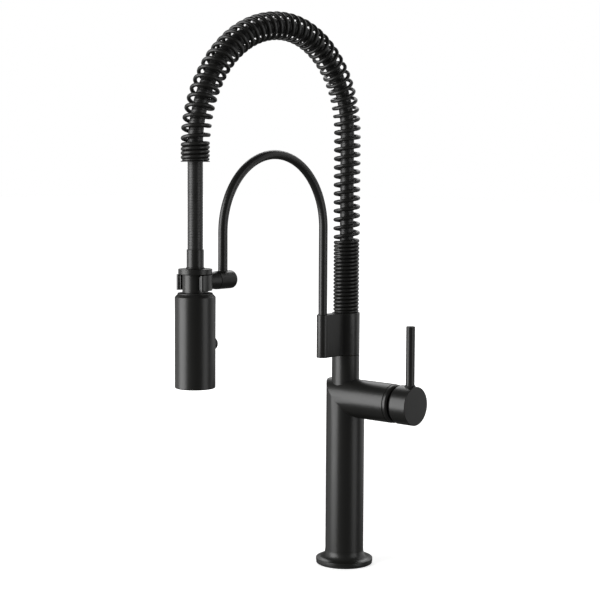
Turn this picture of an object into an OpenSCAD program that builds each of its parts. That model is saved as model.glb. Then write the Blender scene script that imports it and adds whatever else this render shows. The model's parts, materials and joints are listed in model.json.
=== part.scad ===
// Pull-down kitchen faucet with a spring arch, a docking arm and a side lever.
// Millimetres. Z is up, the worktop's top face is z = 0 and the column stands on the origin.
// The spout reaches towards -Y and the lever hub points towards +X.

/* [Worktop fixing] */
// Radius of the base flange
flange_r = 29.75; // [28:0.25:34]
// Thickness of the worktop gasket
gasket_t = 2.2; // [1:0.1:3]
// Radius of the threaded shank that drops through the worktop
shank_r = 16.5; // [16:0.1:16.8]
// Length of the shank below the worktop's top face
shank_len = 58; // [50:1:75]
// Thickness of the worktop that the fixing is drawn up on
worktop_t = 25; // [12:1:30]

/* [Body] */
// Radius of the column and of the valve housing
column_r = 20; // [19.5:0.1:21]
// Height of the valve housing's axis
valve_z = 175.5; // [160:0.5:180]
// Distance from the column's axis to the end of the valve housing
valve_end = 62.9; // [62:0.1:64]
// Radius of the round on the elbow's outer corner
elbow_round = 4.5; // [1:0.5:8]
// Radius of the neck and of the swivel collar above it
neck_r = 14.4; // [14.2:0.1:15]
// Height of the seam that the spout swivels on
swivel_z = 220.3; // [216:0.1:226]

/* [Lever] */
// Radius of the lever's hub
hub_r = 19.8; // [19:0.1:20]
// Distance from the column's axis to the hub's outer face
hub_end = 91.1; // [90:0.1:94]
// Radius of the lever pin
lever_r = 4.55; // [4:0.05:5]
// Height of the lever pin's tip
lever_top = 256; // [240:1:280]

/* [Spout] */
// Horizontal reach from the column's axis to the wand's axis
reach = 222.4; // [215:0.2:235]
// Height of the swivel collar
collar_h = 43.9; // [42:0.1:46]
// Radius of the hose
hose_r = 7.1; // [6.8:0.1:7.2]
// Radius of the spring's wire
wire_r = 1.85; // [1.4:0.05:1.9]
// Outer radius of the close-wound coils
close_coil_r = 13.4; // [13:0.1:13.8]
// Outer radius of the open coils
open_coil_r = 13.9; // [13.4:0.1:14.5]
// Pitch of the open coils
open_pitch = 9; // [8:0.1:10]
// Height at which the spring leaves the vertical and starts its arch
arch_z = 449.3; // [440:0.1:460]
// Radius of the arch's rear quarter
rear_arch_r = 103; // [95:0.5:110]

/* [Docking arm] */
// Radius of the docking arm's tube
arm_r = 4.45; // [4:0.05:4.8]
// Distance from the column's axis to the arm's rear leg
arm_rear = 37.9; // [36:0.1:42]
// Distance from the column's axis to the arm's front leg
arm_front = 185.6; // [180:0.2:190]
// Height at which the arm's legs turn into its bow
arm_bow_z = 353.4; // [340:0.2:360]
// Height of the dock's axis
dock_z = 308.8; // [308:0.1:309]

/* [Wand] */
// Radius of the wand's body
wand_r = 18.9; // [18.5:0.1:19.5]
// Height of the wand's lower edge
wand_bottom = 210.2; // [200:0.2:212]
// Height of the top of the wand's body
wand_top = 297.5; // [297:0.1:298]
// Radius of the wand's neck, where the clip holds it
grip_r = 11.9; // [11.5:0.1:12]
// Height of the spray button's centre
button_z = 249.6; // [244:0.2:256]
// Number of spray nozzles round the aerator
nozzle_count = 20; // [12:1:24]

/* [Hidden] */
$fn = 96;

// Finishes
black = "#2b2b29";
dark_rubber = "#161616";
brass_tone = "#b08d4c";
steel_tone = "#b4b6b8";
copper_tone = "#b4714a";
ceramic_tone = "#e8e6df";
plastic_tone = "#d9d9d4";

// Clearances: a running fit, a gap between bodies that pass each other, and a cutting margin
run_gap = 0.05;
body_gap = 0.3;
cut = 1;

// Base and fixing
flange_top = 6;
fillet_r = 8;
flange_h = flange_top + fillet_r;
flange_edge_r = 0.7;
spigot_r = 18;
column_bore = 17;
shank_bore = 13.5;
shank_top = flange_h - 1;
washer_r = 26;
ring_bore = shank_r + 0.1;
seal_t = 2;
washer_t = 2;
nut_h = 10;
nut_r = 25;
nut_top = -worktop_t - seal_t - washer_t;
jack_pitch_r = 20.8;
jack_r = 2.5;
jack_head_r = 3.6;
jack_head_h = 4;
inlet_x = 4;
inlet_y = 7;
inlet_r = 4.9;
inlet_bore = 3.2;
union_r = 6.4;
union_h = 17;
union_bottom = -shank_len - union_h;
union_thread_r = 4.5;
union_thread_len = 12;

// Valve housing and what it holds
valve_bore = 17.6;
valve_fill_r = 17.5;
block_start = -5;
block_end = 20;
port_r = 3;
port_y = 7;
port_z = valve_z - 4;
outlet_port_z = valve_z + 8;
port_seal_r = 4.4;
port_seal_t = 1.2;
outlet_foot_r = 4.4;
outlet_r = 6;
outlet_bore = 3.4;
outlet_foot_top = valve_z + 17.6;
outlet_top = swivel_z + 19.7;
o_ring_major = 5.25;
o_ring_minor = 0.75;
cartridge_len = 16;
cartridge_neck_r = 10;
cartridge_neck_end = 46;
disc_r = 14;
disc_t = 3;
disc_start = block_end + 2;
spindle_r = 6;
nut_start = 37;
nut_end = 47;
bonnet_start = 52;
bonnet_bore = 13;
bonnet_end = 68;

// Lever
tilt_x = 50;
fork_end = 54;
fork_slot = 5;
eye_r = 4;
stem_pin_r = 1.5;
stem_r = 4;
stem_end = 86;
hub_start = 70.2;
hub_cup_r = 17.3;
hub_cup_end = 79;
lever_x = 83.7;
lever_tip_r = 2.5;
pin_washer_r = 5.6;
pin_washer_t = 1.2;

// Swivel
neck_bore = 11.5;
neck_bore_z = valve_z + 21.5;
snap_z = swivel_z + 29.3;
snap_t = 1.2;
snap_r = 12.6;
snap_groove_r = 10.9;
spigot_bore = 8.6;
glide_t = 1.5;
glide_r = 13.4;
collar_z = swivel_z + body_gap;
collar_top = collar_z + collar_h;
collar_well_r = 13.2;
collar_well_z = snap_z - body_gap;
plate_half = 6.15;
arm_socket_z = collar_z + 7.4;
arm_bore = 3.2;
screw_pocket_r = 4.4;
screw_pocket_h = 4.4;
seat_t = 8;
seat_spigot_r = close_coil_r - 2 * wire_r - 0.8;
seat_spigot_h = 9;
coupling_r = 8.5;
coupling_z = swivel_z + 2;
coupling_flange_z = snap_z + snap_t + 1.2;
hose_start = collar_top - seat_t;

// Spring arch: up the column's axis, a rear quarter, a front quarter and down to the wand
front_arch_r = reach - rear_arch_r;
arch_top = arch_z + rear_arch_r;
front_arch_z = arch_top - front_arch_r;
spring_end_z = 420.4;
ring_t = 0.9;
hose_end_z = spring_end_z + 0.6;
hose_bore = 4.5;
coil_start = collar_top + wire_r + 0.1;
close_turns = 19;
close_pitch = 3.86;
end_turns = 4;
end_pitch = 3.8;
rise_len = arch_z - coil_start;
rear_len = rear_arch_r * PI / 2;
front_len = front_arch_r * PI / 2;
drop_len = front_arch_z - spring_end_z - wire_r - 0.05;
coil_len = rise_len + rear_len + front_len + drop_len;
close_len = close_turns * close_pitch;
end_len = end_turns * end_pitch;
open_turns = (coil_len - close_len - end_len) / open_pitch;
all_turns = close_turns + open_turns + end_turns;
coil_steps = 8;
wire_sides = 5;

// Dock
cap_r = 8.6;
cap_end = 172.8;
cap_seam = 195;
cap_round = 2.6;
stub_tip_r = 6.8;
arm_foot_z = dock_z - 5.6;
dock_screw_r = 2.5;
dock_screw_head_r = 4.2;
dock_screw_head_h = 4;
clip_low = 301;
clip_high = 315.6;
clip_inner = 13.3;
clip_outer = 15.8;
prong = 7.8;
liner_inner = 12.3;
liner_inset = 1.2;

// Wand
disc_low = 316;
disc_high = 321;
disc_top_r = 15.7;
neck_seat_r = 10.9;
neck_foot = 284;
neck_bore_r = 5.55;
ferrule_r = 7.9;
ferrule_low = disc_high + 0.4;
ferrule_high = 339;
ferrule_stub_r = 5.5;
ferrule_stub_low = 301;
rim_r = 16.3;
rim_t = 1.2;
shell_wall = 2.5;
shell_top_wall = 5;
shoulder_h = 2.6;
core_r = 16.3;
core_low = 216;
core_high = 283.5;
core_bore = 5.5;
core_chamber_r = 12;
valve_r = 5.4;
nozzle_ring_r = 13.2;
nozzle_r = 0.95;
aerator_r = 9.9;
aerator_low = wand_bottom - 1;
button_r = 5.8;
bezel_r = 7.2;
bezel_bore = 6.1;
diverter_r = 3.2;
diverter_bore = 3.25;
button_rise = 7;

// A cylinder along +X that starts at x
module along_x(x, r, length, y = 0, z = valve_z) {
    translate([x, y, z]) rotate([0, 90, 0]) cylinder(r = r, h = length);
}

// A cylinder along -Y that starts at y
module along_y(y, r, length, x = 0, z = dock_z) {
    translate([x, y, z]) rotate([90, 0, 0]) cylinder(r = r, h = length);
}

// A cylinder along +Z that starts at z
module along_z(z, r, length, x = 0, y = 0) {
    translate([x, y, z]) cylinder(r = r, h = length);
}

// A ring along +Z
module ring_z(z, outer, inner, length, x = 0, y = 0) {
    difference() {
        along_z(z, outer, length, x, y);
        along_z(z - cut, inner, length + 2 * cut, x, y);
    }
}

// A ring along +X
module ring_x(x, outer, inner, length, y = 0, z = valve_z) {
    difference() {
        along_x(x, outer, length, y, z);
        along_x(x - cut, inner, length + 2 * cut, y, z);
    }
}

// Turns a profile of radius against height about +X
module turned_x() {
    translate([0, 0, valve_z]) rotate([0, 90, 0]) rotate_extrude() children();
}

// ---- Worktop fixing ----

module deck_gasket() {
    color(dark_rubber) ring_z(0, flange_r - 0.35, spigot_r, gasket_t);
}

module base_flange() {
    color(black) rotate_extrude() difference() {
        union() {
            translate([0, gasket_t]) square([flange_r - flange_edge_r, flange_top - gasket_t]);
            translate([0, gasket_t]) square([flange_r, flange_top - flange_edge_r - gasket_t]);
            translate([flange_r - flange_edge_r, flange_top - flange_edge_r]) circle(r = flange_edge_r);
            square([column_r + fillet_r, flange_h]);
        }
        translate([column_r + fillet_r, flange_top + fillet_r]) circle(r = fillet_r);
        translate([column_r + fillet_r, flange_top]) square([fillet_r, 2 * fillet_r]);
        translate([-cut, -cut]) square([flange_r + 2 * cut, gasket_t + cut]);
        translate([-cut, -cut]) square([spigot_r + cut, flange_h + 2 * cut]);
    }
}

module mounting_shank() {
    color(brass_tone) difference() {
        union() {
            along_z(-shank_len, shank_r, shank_len + gasket_t);
            along_z(gasket_t, column_bore, shank_top - gasket_t);
        }
        along_z(-shank_len - cut, shank_bore, shank_len + shank_top + 2 * cut);
    }
}

module mounting_seal() {
    color(dark_rubber) ring_z(-worktop_t - seal_t, washer_r, ring_bore, seal_t);
}

module mounting_washer() {
    color(steel_tone) ring_z(nut_top, washer_r, ring_bore, washer_t);
}

// Places one piece at each jack screw
module at_jacks() {
    for (turn = [0 : 120 : 240]) rotate([0, 0, turn]) translate([jack_pitch_r, 0, 0]) children();
}

module mounting_nut() {
    color(brass_tone) difference() {
        translate([0, 0, nut_top - nut_h]) cylinder(r = nut_r, h = nut_h);
        along_z(nut_top - nut_h - cut, shank_r, nut_h + 2 * cut);
        at_jacks() along_z(nut_top - nut_h - cut, jack_r, nut_h + 2 * cut);
    }
}

module jack_screws() {
    color(steel_tone) at_jacks() {
        along_z(nut_top - nut_h - 3, jack_r, nut_h + 3);
        along_z(nut_top - nut_h - 3 - jack_head_h, jack_head_r, jack_head_h);
    }
}

// One rigid inlet tube with its threaded union
module inlet_tube(side) {
    tube_top = valve_z - 2;
    color(copper_tone) difference() {
        union() {
            along_z(union_bottom, union_r, union_h, inlet_x, side * inlet_y);
            along_z(union_bottom, inlet_r, tube_top - union_bottom, inlet_x, side * inlet_y);
        }
        along_z(union_bottom - cut, union_thread_r, union_thread_len + cut, inlet_x, side * inlet_y);
        along_z(union_bottom, inlet_bore, tube_top - union_bottom + cut, inlet_x, side * inlet_y);
    }
}

module hot_inlet_tube() {
    inlet_tube(1);
}

module cold_inlet_tube() {
    inlet_tube(-1);
}

// ---- Body ----

// Everything on one side of the elbow's mitre plane
module mitre_half(low) {
    reach_out = 300;
    translate([0, 0, valve_z]) rotate([0, 45, 0])
        translate([-reach_out / 2, -reach_out / 2, low]) cube(reach_out);
}

// What the round takes off the elbow's outer corner
module elbow_corner() {
    width = 3 * column_r;
    translate([-column_r, 0, valve_z + column_r]) difference() {
        translate([-cut, -width / 2, -elbow_round]) cube([elbow_round + cut, width, elbow_round + cut]);
        translate([elbow_round, width, -elbow_round]) rotate([90, 0, 0])
            cylinder(r = elbow_round, h = 2 * width);
    }
}

module body_shell() {
    color(black) difference() {
        union() {
            intersection() {
                along_z(flange_h, column_r, valve_z + 2 * column_r - flange_h);
                mitre_half(-300);
            }
            intersection() {
                along_x(-2 * column_r, column_r, valve_end + 2 * column_r);
                mitre_half(0);
            }
            along_z(gasket_t, spigot_r, flange_h);
            along_z(valve_z, neck_r, swivel_z - valve_z);
        }
        elbow_corner();
        along_z(gasket_t - cut, column_bore, valve_z - gasket_t + cut);
        along_x(block_start, valve_bore, valve_end - block_start + cut);
        along_z(valve_z, outlet_r + 0.1, swivel_z - valve_z);
        along_z(neck_bore_z, neck_bore, swivel_z - neck_bore_z + cut);
        along_z(swivel_z - glide_t, glide_r, glide_t + cut);
    }
}

module waterway_block() {
    tube_depth = valve_z - 2;
    color(brass_tone) difference() {
        along_x(block_start, valve_fill_r, block_end - block_start);
        for (side = [-1, 1]) {
            along_z(valve_z - column_r, inlet_r, tube_depth - valve_z + column_r, inlet_x, side * inlet_y);
            along_x(inlet_x, port_r, block_end, side * port_y, port_z);
            along_x(block_end - port_seal_t, port_seal_r, port_seal_t + cut, side * port_y, port_z);
        }
        along_x(0, port_r, block_end + cut, 0, outlet_port_z);
        along_x(block_end - port_seal_t, port_seal_r, port_seal_t + cut, 0, outlet_port_z);
        along_z(outlet_port_z - 2, outlet_foot_r, column_r);
    }
}

module port_seals() {
    color(dark_rubber) {
        for (side = [-1, 1])
            ring_x(block_end - port_seal_t, port_seal_r, port_r, port_seal_t, side * port_y, port_z);
        ring_x(block_end - port_seal_t, port_seal_r, port_r, port_seal_t, 0, outlet_port_z);
    }
}

// Heights of the grooves that hold the outlet tube's O-rings
outlet_grooves = [swivel_z + 6, swivel_z + 12];

module outlet_o_rings() {
    color(dark_rubber) for (z = outlet_grooves)
        translate([0, 0, z]) rotate_extrude() translate([o_ring_major, 0]) circle(r = o_ring_minor, $fn = 32);
}

module outlet_tube() {
    color(brass_tone) difference() {
        union() {
            along_z(outlet_port_z - 2, outlet_foot_r, outlet_foot_top - outlet_port_z + 2);
            along_z(outlet_foot_top, outlet_r, outlet_top - outlet_foot_top);
        }
        along_z(outlet_port_z - 2 - cut, outlet_bore, outlet_top);
        for (z = outlet_grooves)
            ring_z(z - o_ring_minor, outlet_r + cut, o_ring_major - o_ring_minor, 2 * o_ring_minor);
    }
}

module swivel_spigot() {
    color(brass_tone) difference() {
        along_z(neck_bore_z, neck_bore, snap_z + snap_t + 0.6 - neck_bore_z);
        along_z(neck_bore_z - cut, spigot_bore, snap_z - neck_bore_z + 4);
        ring_z(snap_z, neck_bore + cut, snap_groove_r, snap_t);
    }
}

module glide_ring() {
    color(plastic_tone) ring_z(swivel_z - glide_t, glide_r, neck_bore, glide_t);
}

module snap_ring() {
    gap_w = 4;
    color(steel_tone) difference() {
        ring_z(snap_z, snap_r, snap_groove_r, snap_t);
        translate([-gap_w / 2, 0, snap_z - cut]) cube([gap_w, snap_r + cut, snap_t + 2 * cut]);
    }
}

// ---- Valve ----

module ceramic_cartridge() {
    color(plastic_tone) difference() {
        union() {
            along_x(block_end, valve_fill_r, cartridge_len);
            along_x(block_end, cartridge_neck_r, cartridge_neck_end - block_end);
        }
        along_x(disc_start, disc_r + 0.1, 2 * disc_t + 0.2);
        along_x(disc_start, spindle_r + run_gap, cartridge_neck_end);
        for (side = [-1, 1]) along_x(block_end - cut, port_r, 4, side * port_y, port_z);
        along_x(block_end - cut, port_r, 4, 0, outlet_port_z);
    }
}

module fixed_disc() {
    color(ceramic_tone) difference() {
        along_x(disc_start, disc_r, disc_t);
        for (side = [-1, 1]) along_x(disc_start - cut, port_r, disc_t + 2 * cut, side * port_y, port_z);
        along_x(disc_start - cut, port_r, disc_t + 2 * cut, 0, outlet_port_z);
    }
}

module moving_disc() {
    color(ceramic_tone) along_x(disc_start + disc_t + run_gap, disc_r, disc_t);
}

module cartridge_nut() {
    color(brass_tone) ring_x(nut_start, valve_fill_r, cartridge_neck_r + 0.1, nut_end - nut_start);
}

module bonnet_ring() {
    edge_r = column_r - 0.3;
    color(black) turned_x() polygon([
        [bonnet_bore, bonnet_start],
        [valve_fill_r, bonnet_start],
        [valve_fill_r, valve_end + 0.25],
        [edge_r, valve_end + 0.25],
        [edge_r, valve_end + 2.4],
        [edge_r - 1.3, bonnet_end],
        [bonnet_bore, bonnet_end]
    ]);
}

module cartridge_spindle() {
    start = disc_start + 2 * disc_t + run_gap;
    color(brass_tone) difference() {
        along_x(start, spindle_r, fork_end - start);
        translate([tilt_x - eye_r - 1.5, -fork_slot / 2, valve_z - column_r])
            cube([column_r, fork_slot, 2 * column_r]);
        along_y(spindle_r + cut, stem_pin_r, 2 * (spindle_r + cut), tilt_x, valve_z);
    }
}

module stem_pin() {
    color(steel_tone) along_y(spindle_r - 0.4, stem_pin_r, 2 * spindle_r - 0.8, tilt_x, valve_z);
}

// ---- Lever ----

module lever_stem() {
    eye_w = fork_slot - 0.3;
    color(steel_tone) difference() {
        union() {
            along_y(eye_w / 2, eye_r, eye_w, tilt_x, valve_z);
            translate([tilt_x, -eye_w / 2, valve_z - 2.2]) cube([10, eye_w, 4.4]);
            along_x(tilt_x + 8, stem_r, stem_end - tilt_x - 8);
        }
        along_y(eye_w, stem_pin_r + run_gap, 2 * eye_w, tilt_x, valve_z);
    }
}

module handle_hub() {
    edge = 1.6;
    color(black) difference() {
        turned_x() polygon([
            [0, hub_cup_end],
            [hub_cup_r, hub_cup_end],
            [hub_cup_r, hub_start],
            [hub_r - edge, hub_start],
            [hub_r, hub_start + 2.2],
            [hub_r, hub_end - 0.4],
            [hub_r - 0.4, hub_end],
            [0, hub_end]
        ]);
        along_x(hub_cup_end - cut, stem_r, stem_end - hub_cup_end + cut);
        along_z(valve_z, lever_tip_r, hub_r + cut, lever_x);
        along_z(valve_z + hub_r - 3, lever_r, 3 + cut, lever_x);
        along_z(valve_z - hub_r - cut, lever_tip_r - 0.3, hub_r, lever_x);
    }
}

module hub_grub_screw() {
    key_r = 1.1;
    top = valve_z - stem_r;
    screw_len = 8;
    color(steel_tone) difference() {
        along_z(top - screw_len, lever_tip_r - 0.3, screw_len, lever_x);
        translate([lever_x, 0, top - screw_len - cut]) cylinder(r = key_r, h = 3 + cut, $fn = 6);
    }
}

module pin_washer() {
    color(dark_rubber) difference() {
        ring_z(valve_z + hub_r - 1.2, pin_washer_r, lever_r, 1.2 + pin_washer_t, lever_x);
        along_x(hub_start, hub_r, hub_end - hub_start);
    }
}

module lever_pin() {
    edge = 0.5;
    foot = valve_z + hub_r - 3;
    color(black) {
        translate([lever_x, 0, 0]) rotate_extrude() polygon([
            [0, foot], [lever_r, foot], [lever_r, lever_top - edge],
            [lever_r - edge, lever_top], [0, lever_top]
        ]);
        along_z(valve_z + stem_r, lever_tip_r, foot - valve_z - stem_r, lever_x);
    }
}

// ---- Spout ----

module swivel_collar() {
    color(black) difference() {
        union() {
            along_z(collar_z, neck_r, collar_h);
            translate([-plate_half, -arm_rear, collar_z]) cube([2 * plate_half, arm_rear, collar_h]);
            along_z(collar_z, plate_half, collar_h, 0, -arm_rear);
        }
        along_z(collar_z - cut, neck_bore + run_gap, collar_h);
        along_z(collar_well_z, collar_well_r, collar_h);
        along_z(arm_socket_z, arm_r, collar_h, 0, -arm_rear);
        along_z(collar_z - cut, arm_bore + 0.1, collar_h, 0, -arm_rear);
        along_z(collar_z - cut, screw_pocket_r, screw_pocket_h + cut, 0, -arm_rear);
    }
}

module arm_screw() {
    head_h = 3.6;
    head_z = collar_z + screw_pocket_h - head_h;
    color(steel_tone) difference() {
        union() {
            along_z(head_z, screw_pocket_r - 0.2, head_h, 0, -arm_rear);
            along_z(head_z, arm_bore, 22, 0, -arm_rear);
        }
        translate([0, -arm_rear, head_z - cut]) cylinder(r = 2, h = 2 + cut, $fn = 6);
    }
}

// The arm's solid outline at a given tube radius, with its legs grown past their ends by over
module arm_bow(r, over) {
    bow_r = (arm_front - arm_rear) / 2;
    along_z(arm_socket_z - over, r, arm_bow_z - arm_socket_z + over, 0, -arm_rear);
    along_z(arm_foot_z - over, r, arm_bow_z - arm_foot_z + over, 0, -arm_front);
    translate([0, -(arm_front + arm_rear) / 2, arm_bow_z]) rotate([90, 0, -90])
        rotate_extrude(angle = 180) translate([bow_r, 0]) circle(r = r);
}

module docking_arm() {
    color(black) difference() {
        arm_bow(arm_r, 0);
        arm_bow(arm_bore, cut);
        along_y(-arm_front + 2 * arm_r, dock_screw_r, 4 * arm_r);
    }
}

module spring_seat() {
    color(black) difference() {
        union() {
            along_z(collar_top - seat_t, collar_well_r, seat_t);
            along_z(collar_top - seat_t, seat_spigot_r, seat_t + seat_spigot_h);
        }
        along_z(collar_top - seat_t - cut, hose_r, seat_t + seat_spigot_h + 2 * cut);
    }
}

module hose_coupling() {
    color(brass_tone) difference() {
        union() {
            along_z(coupling_z, coupling_r, hose_start - coupling_z);
            along_z(coupling_flange_z, coupling_r + 2, hose_start - coupling_flange_z);
        }
        along_z(coupling_z - cut, outlet_r + run_gap, outlet_top + 2 - coupling_z + cut);
        along_z(coupling_z, hose_bore, hose_start - coupling_z + cut);
    }
}

// The hose's path at a given radius: up, over both quarters of the arch and down
module hose_path(r, over) {
    along_z(hose_start - over, r, arch_z - hose_start + over);
    translate([0, -rear_arch_r, arch_z]) rotate([90, 0, 90])
        rotate_extrude(angle = 90) translate([rear_arch_r, 0]) circle(r = r);
    translate([0, -rear_arch_r, front_arch_z]) rotate([90, 0, 90])
        rotate([0, 0, 90]) rotate_extrude(angle = 90) translate([front_arch_r, 0]) circle(r = r);
    along_z(hose_end_z - over, r, front_arch_z - hose_end_z + over, 0, -reach);
}

module arch_hose() {
    color(dark_rubber) difference() {
        hose_path(hose_r, 0);
        hose_path(hose_bore, cut);
    }
}

module exposed_hose() {
    color(dark_rubber) ring_z(ferrule_high, hose_r, hose_bore, hose_end_z - ferrule_high, 0, -reach);
}

module spring_end_ring() {
    color(black) ring_z(spring_end_z - ring_t, close_coil_r, hose_r + 0.1, ring_t, 0, -reach);
}

// Distance along the spring's centre line after a number of turns
function coil_run(turns) =
    turns <= close_turns ? turns * close_pitch :
    turns <= close_turns + open_turns ? close_len + (turns - close_turns) * open_pitch :
    close_len + open_turns * open_pitch + (turns - close_turns - open_turns) * end_pitch;

// Radius of the wire's centre line after a number of turns
function coil_radius(turns) =
    let (fade = min(1, max(0, min(turns - close_turns, all_turns - end_turns - turns))))
    close_coil_r - wire_r + fade * (open_coil_r - close_coil_r);

// Point and direction on the arch at a distance from the spring's foot: [y, z, angle of travel]
function arch_at(s) =
    let (a = (s - rise_len) / rear_arch_r * 180 / PI,
         b = (s - rise_len - rear_len) / front_arch_r * 180 / PI,
         over = s - rise_len - rear_len - front_len)
    s < rise_len ? [0, coil_start + s, 90] :
    s < rise_len + rear_len ?
        [-rear_arch_r + rear_arch_r * cos(a), arch_z + rear_arch_r * sin(a), 90 + a] :
    over < 0 ?
        [-rear_arch_r - front_arch_r * sin(b), front_arch_z + front_arch_r * cos(b), 180 + b] :
        [-reach, front_arch_z - over, 270];

// One corner of the wire's section: w is its angle round the wire
function wire_corner(turns, w) =
    let (at = arch_at(coil_run(turns)),
         r = coil_radius(turns) + wire_r * cos(w),
         side = -r * sin(turns * 360),
         out = r * cos(turns * 360),
         along = wire_r * sin(w))
    [side,
     at[0] + out * sin(at[2]) + along * cos(at[2]),
     at[1] - out * cos(at[2]) + along * sin(at[2])];

module spring() {
    rings = floor(all_turns * coil_steps);
    corners = [for (i = [0 : rings], k = [0 : wire_sides - 1])
        wire_corner(i / coil_steps, k * 360 / wire_sides)];
    skin = [for (i = [0 : rings - 1], k = [0 : wire_sides - 1])
        let (a = i * wire_sides + k,
             b = i * wire_sides + (k + 1) % wire_sides,
             c = b + wire_sides,
             d = a + wire_sides)
        each [[a, b, c], [a, c, d]]];
    foot = [for (k = [wire_sides - 1 : -1 : 0]) k];
    tip = [for (k = [0 : wire_sides - 1]) rings * wire_sides + k];
    color(black) polyhedron(points = corners, faces = concat(skin, [foot, tip]));
}

// ---- Dock ----

module dock_cap() {
    length = cap_seam - cap_end;
    color(black) difference() {
        translate([0, -cap_seam, dock_z]) rotate([-90, 0, 0]) rotate_extrude() union() {
            square([cap_r, length - cap_round]);
            square([cap_r - cap_round, length]);
            translate([cap_r - cap_round, length - cap_round])
                intersection() { circle(r = cap_round); square(cap_round); }
        }
        along_z(arm_foot_z, arm_r, cap_r * 2, 0, -arm_front);
        along_y(-cap_end + cut, dock_screw_r, cap_seam - cap_end + 2 * cut);
        along_y(-cap_end + cut, dock_screw_head_r, dock_screw_head_h + cut);
    }
}

module dock_screw() {
    color(steel_tone) difference() {
        union() {
            along_y(-cap_end - 0.4, dock_screw_head_r - 0.1, dock_screw_head_h - 0.4);
            along_y(-cap_end - 0.4, dock_screw_r, 30);
        }
        translate([0, -cap_end + cut, dock_z]) rotate([90, 0, 0]) cylinder(r = 2, h = 2.4 + cut, $fn = 6);
    }
}

// A U round the wand's neck, open towards -Y, as a flat outline
module u_outline(outer, inner, front) {
    difference() {
        union() {
            circle(r = outer);
            translate([-outer, -front]) square([2 * outer, front]);
        }
        circle(r = inner);
        translate([-inner, -outer - front]) square([2 * inner, outer + front]);
        translate([-2 * outer, -2 * outer - front]) square([4 * outer, 2 * outer]);
    }
}

module dock_clip() {
    height = clip_high - clip_low;
    color(black) difference() {
        union() {
            translate([0, -reach, clip_low]) linear_extrude(height) u_outline(clip_outer, clip_inner, prong);
            translate([0, -cap_seam - 0.1, dock_z]) rotate([90, 0, 0])
                cylinder(r1 = cap_r, r2 = stub_tip_r, h = reach - cap_seam - clip_inner - 0.6);
        }
        along_z(clip_low - cut, clip_inner, height + 2 * cut, 0, -reach);
        along_y(-cap_seam + cut, dock_screw_r, 10);
    }
}

module clip_liner() {
    height = clip_high - clip_low - 2 * liner_inset;
    color(dark_rubber) translate([0, -reach, clip_low + liner_inset])
        linear_extrude(height) u_outline(clip_inner, liner_inner, prong - 1);
}

// ---- Hose end ----

module hose_ferrule() {
    flare = 1.4;
    color(black) difference() {
        union() {
            translate([0, -reach, 0]) rotate_extrude() polygon([
                [0, ferrule_low],
                [ferrule_r + flare, ferrule_low],
                [ferrule_r + flare, ferrule_low + 0.8],
                [ferrule_r, ferrule_low + 0.8 + flare],
                [ferrule_r, ferrule_high - 0.5],
                [ferrule_r - 0.5, ferrule_high],
                [0, ferrule_high]
            ]);
            along_z(ferrule_stub_low, ferrule_stub_r, ferrule_low - ferrule_stub_low + cut, 0, -reach);
        }
        along_z(ferrule_stub_low - cut, 3, ferrule_high - ferrule_stub_low + 2 * cut, 0, -reach);
        ring_z(ferrule_stub_low + 4 - 0.7, ferrule_stub_r + cut, ferrule_stub_r - 1.4, 1.4, 0, -reach);
    }
}

module ferrule_o_ring() {
    color(dark_rubber) translate([0, -reach, ferrule_stub_low + 4])
        rotate_extrude() translate([ferrule_stub_r - 0.7, 0]) circle(r = 0.7, $fn = 32);
}

// ---- Wand ----

module wand_neck() {
    color(black) difference() {
        union() {
            along_z(wand_top + rim_t, grip_r, disc_low - wand_top, 0, -reach);
            translate([0, -reach, 0]) rotate_extrude() polygon([
                [0, disc_low],
                [disc_top_r - 0.4, disc_low],
                [disc_top_r, disc_low + 0.4],
                [disc_top_r, disc_high - 0.8],
                [disc_top_r - 0.8, disc_high],
                [0, disc_high]
            ]);
            along_z(neck_foot, neck_seat_r, disc_low - neck_foot, 0, -reach);
        }
        along_z(ferrule_stub_low - 1, neck_bore_r, 30, 0, -reach);
        along_z(neck_foot - cut, 4.2, 30, 0, -reach);
    }
}

module rim_washer() {
    color(dark_rubber) ring_z(wand_top, rim_r, neck_seat_r, rim_t, 0, -reach);
}

// A cylinder from the wand's axis out through the button, along +Y
module button_bore(r, from, to) {
    along_y(-reach + to, r, to - from, 0, button_z);
}

module wand_shell() {
    inner = wand_r - shell_wall;
    edge = 0.9;
    color(black) difference() {
        translate([0, -reach, 0]) rotate_extrude() polygon([
            [inner, wand_bottom],
            [wand_r - edge, wand_bottom],
            [wand_r, wand_bottom + edge],
            [wand_r, wand_top - shoulder_h],
            [rim_r + 0.2, wand_top],
            [neck_seat_r, wand_top],
            [neck_seat_r, wand_top - shell_top_wall],
            [inner, wand_top - shell_top_wall]
        ]);
        button_bore(bezel_r, 0, 2 * wand_r);
    }
}

module wand_core() {
    color(plastic_tone) difference() {
        along_z(core_low, core_r, core_high - core_low, 0, -reach);
        along_z(core_low - cut, core_chamber_r, 8 + cut, 0, -reach);
        along_z(core_low, core_bore, core_high - core_low + cut, 0, -reach);
        button_bore(diverter_bore, -8, wand_r);
        button_bore(bezel_r, core_r - 5.5, wand_r);
    }
}

module check_valve() {
    color(plastic_tone) ring_z(core_high - 14, valve_r, 2.5, 12, 0, -reach);
}

// Places one piece at each spray nozzle
module at_nozzles() {
    translate([0, -reach, 0]) for (i = [0 : nozzle_count - 1])
        rotate([0, 0, i * 360 / nozzle_count]) translate([nozzle_ring_r, 0, 0]) children();
}

module spray_face() {
    low = wand_bottom + 0.3;
    color(dark_rubber) difference() {
        along_z(low, core_r, core_low - low, 0, -reach);
        along_z(low - cut, aerator_r, core_low - low + 2 * cut, 0, -reach);
        at_nozzles() along_z(low - cut, nozzle_r, core_low - low + 2 * cut);
    }
}

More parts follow.
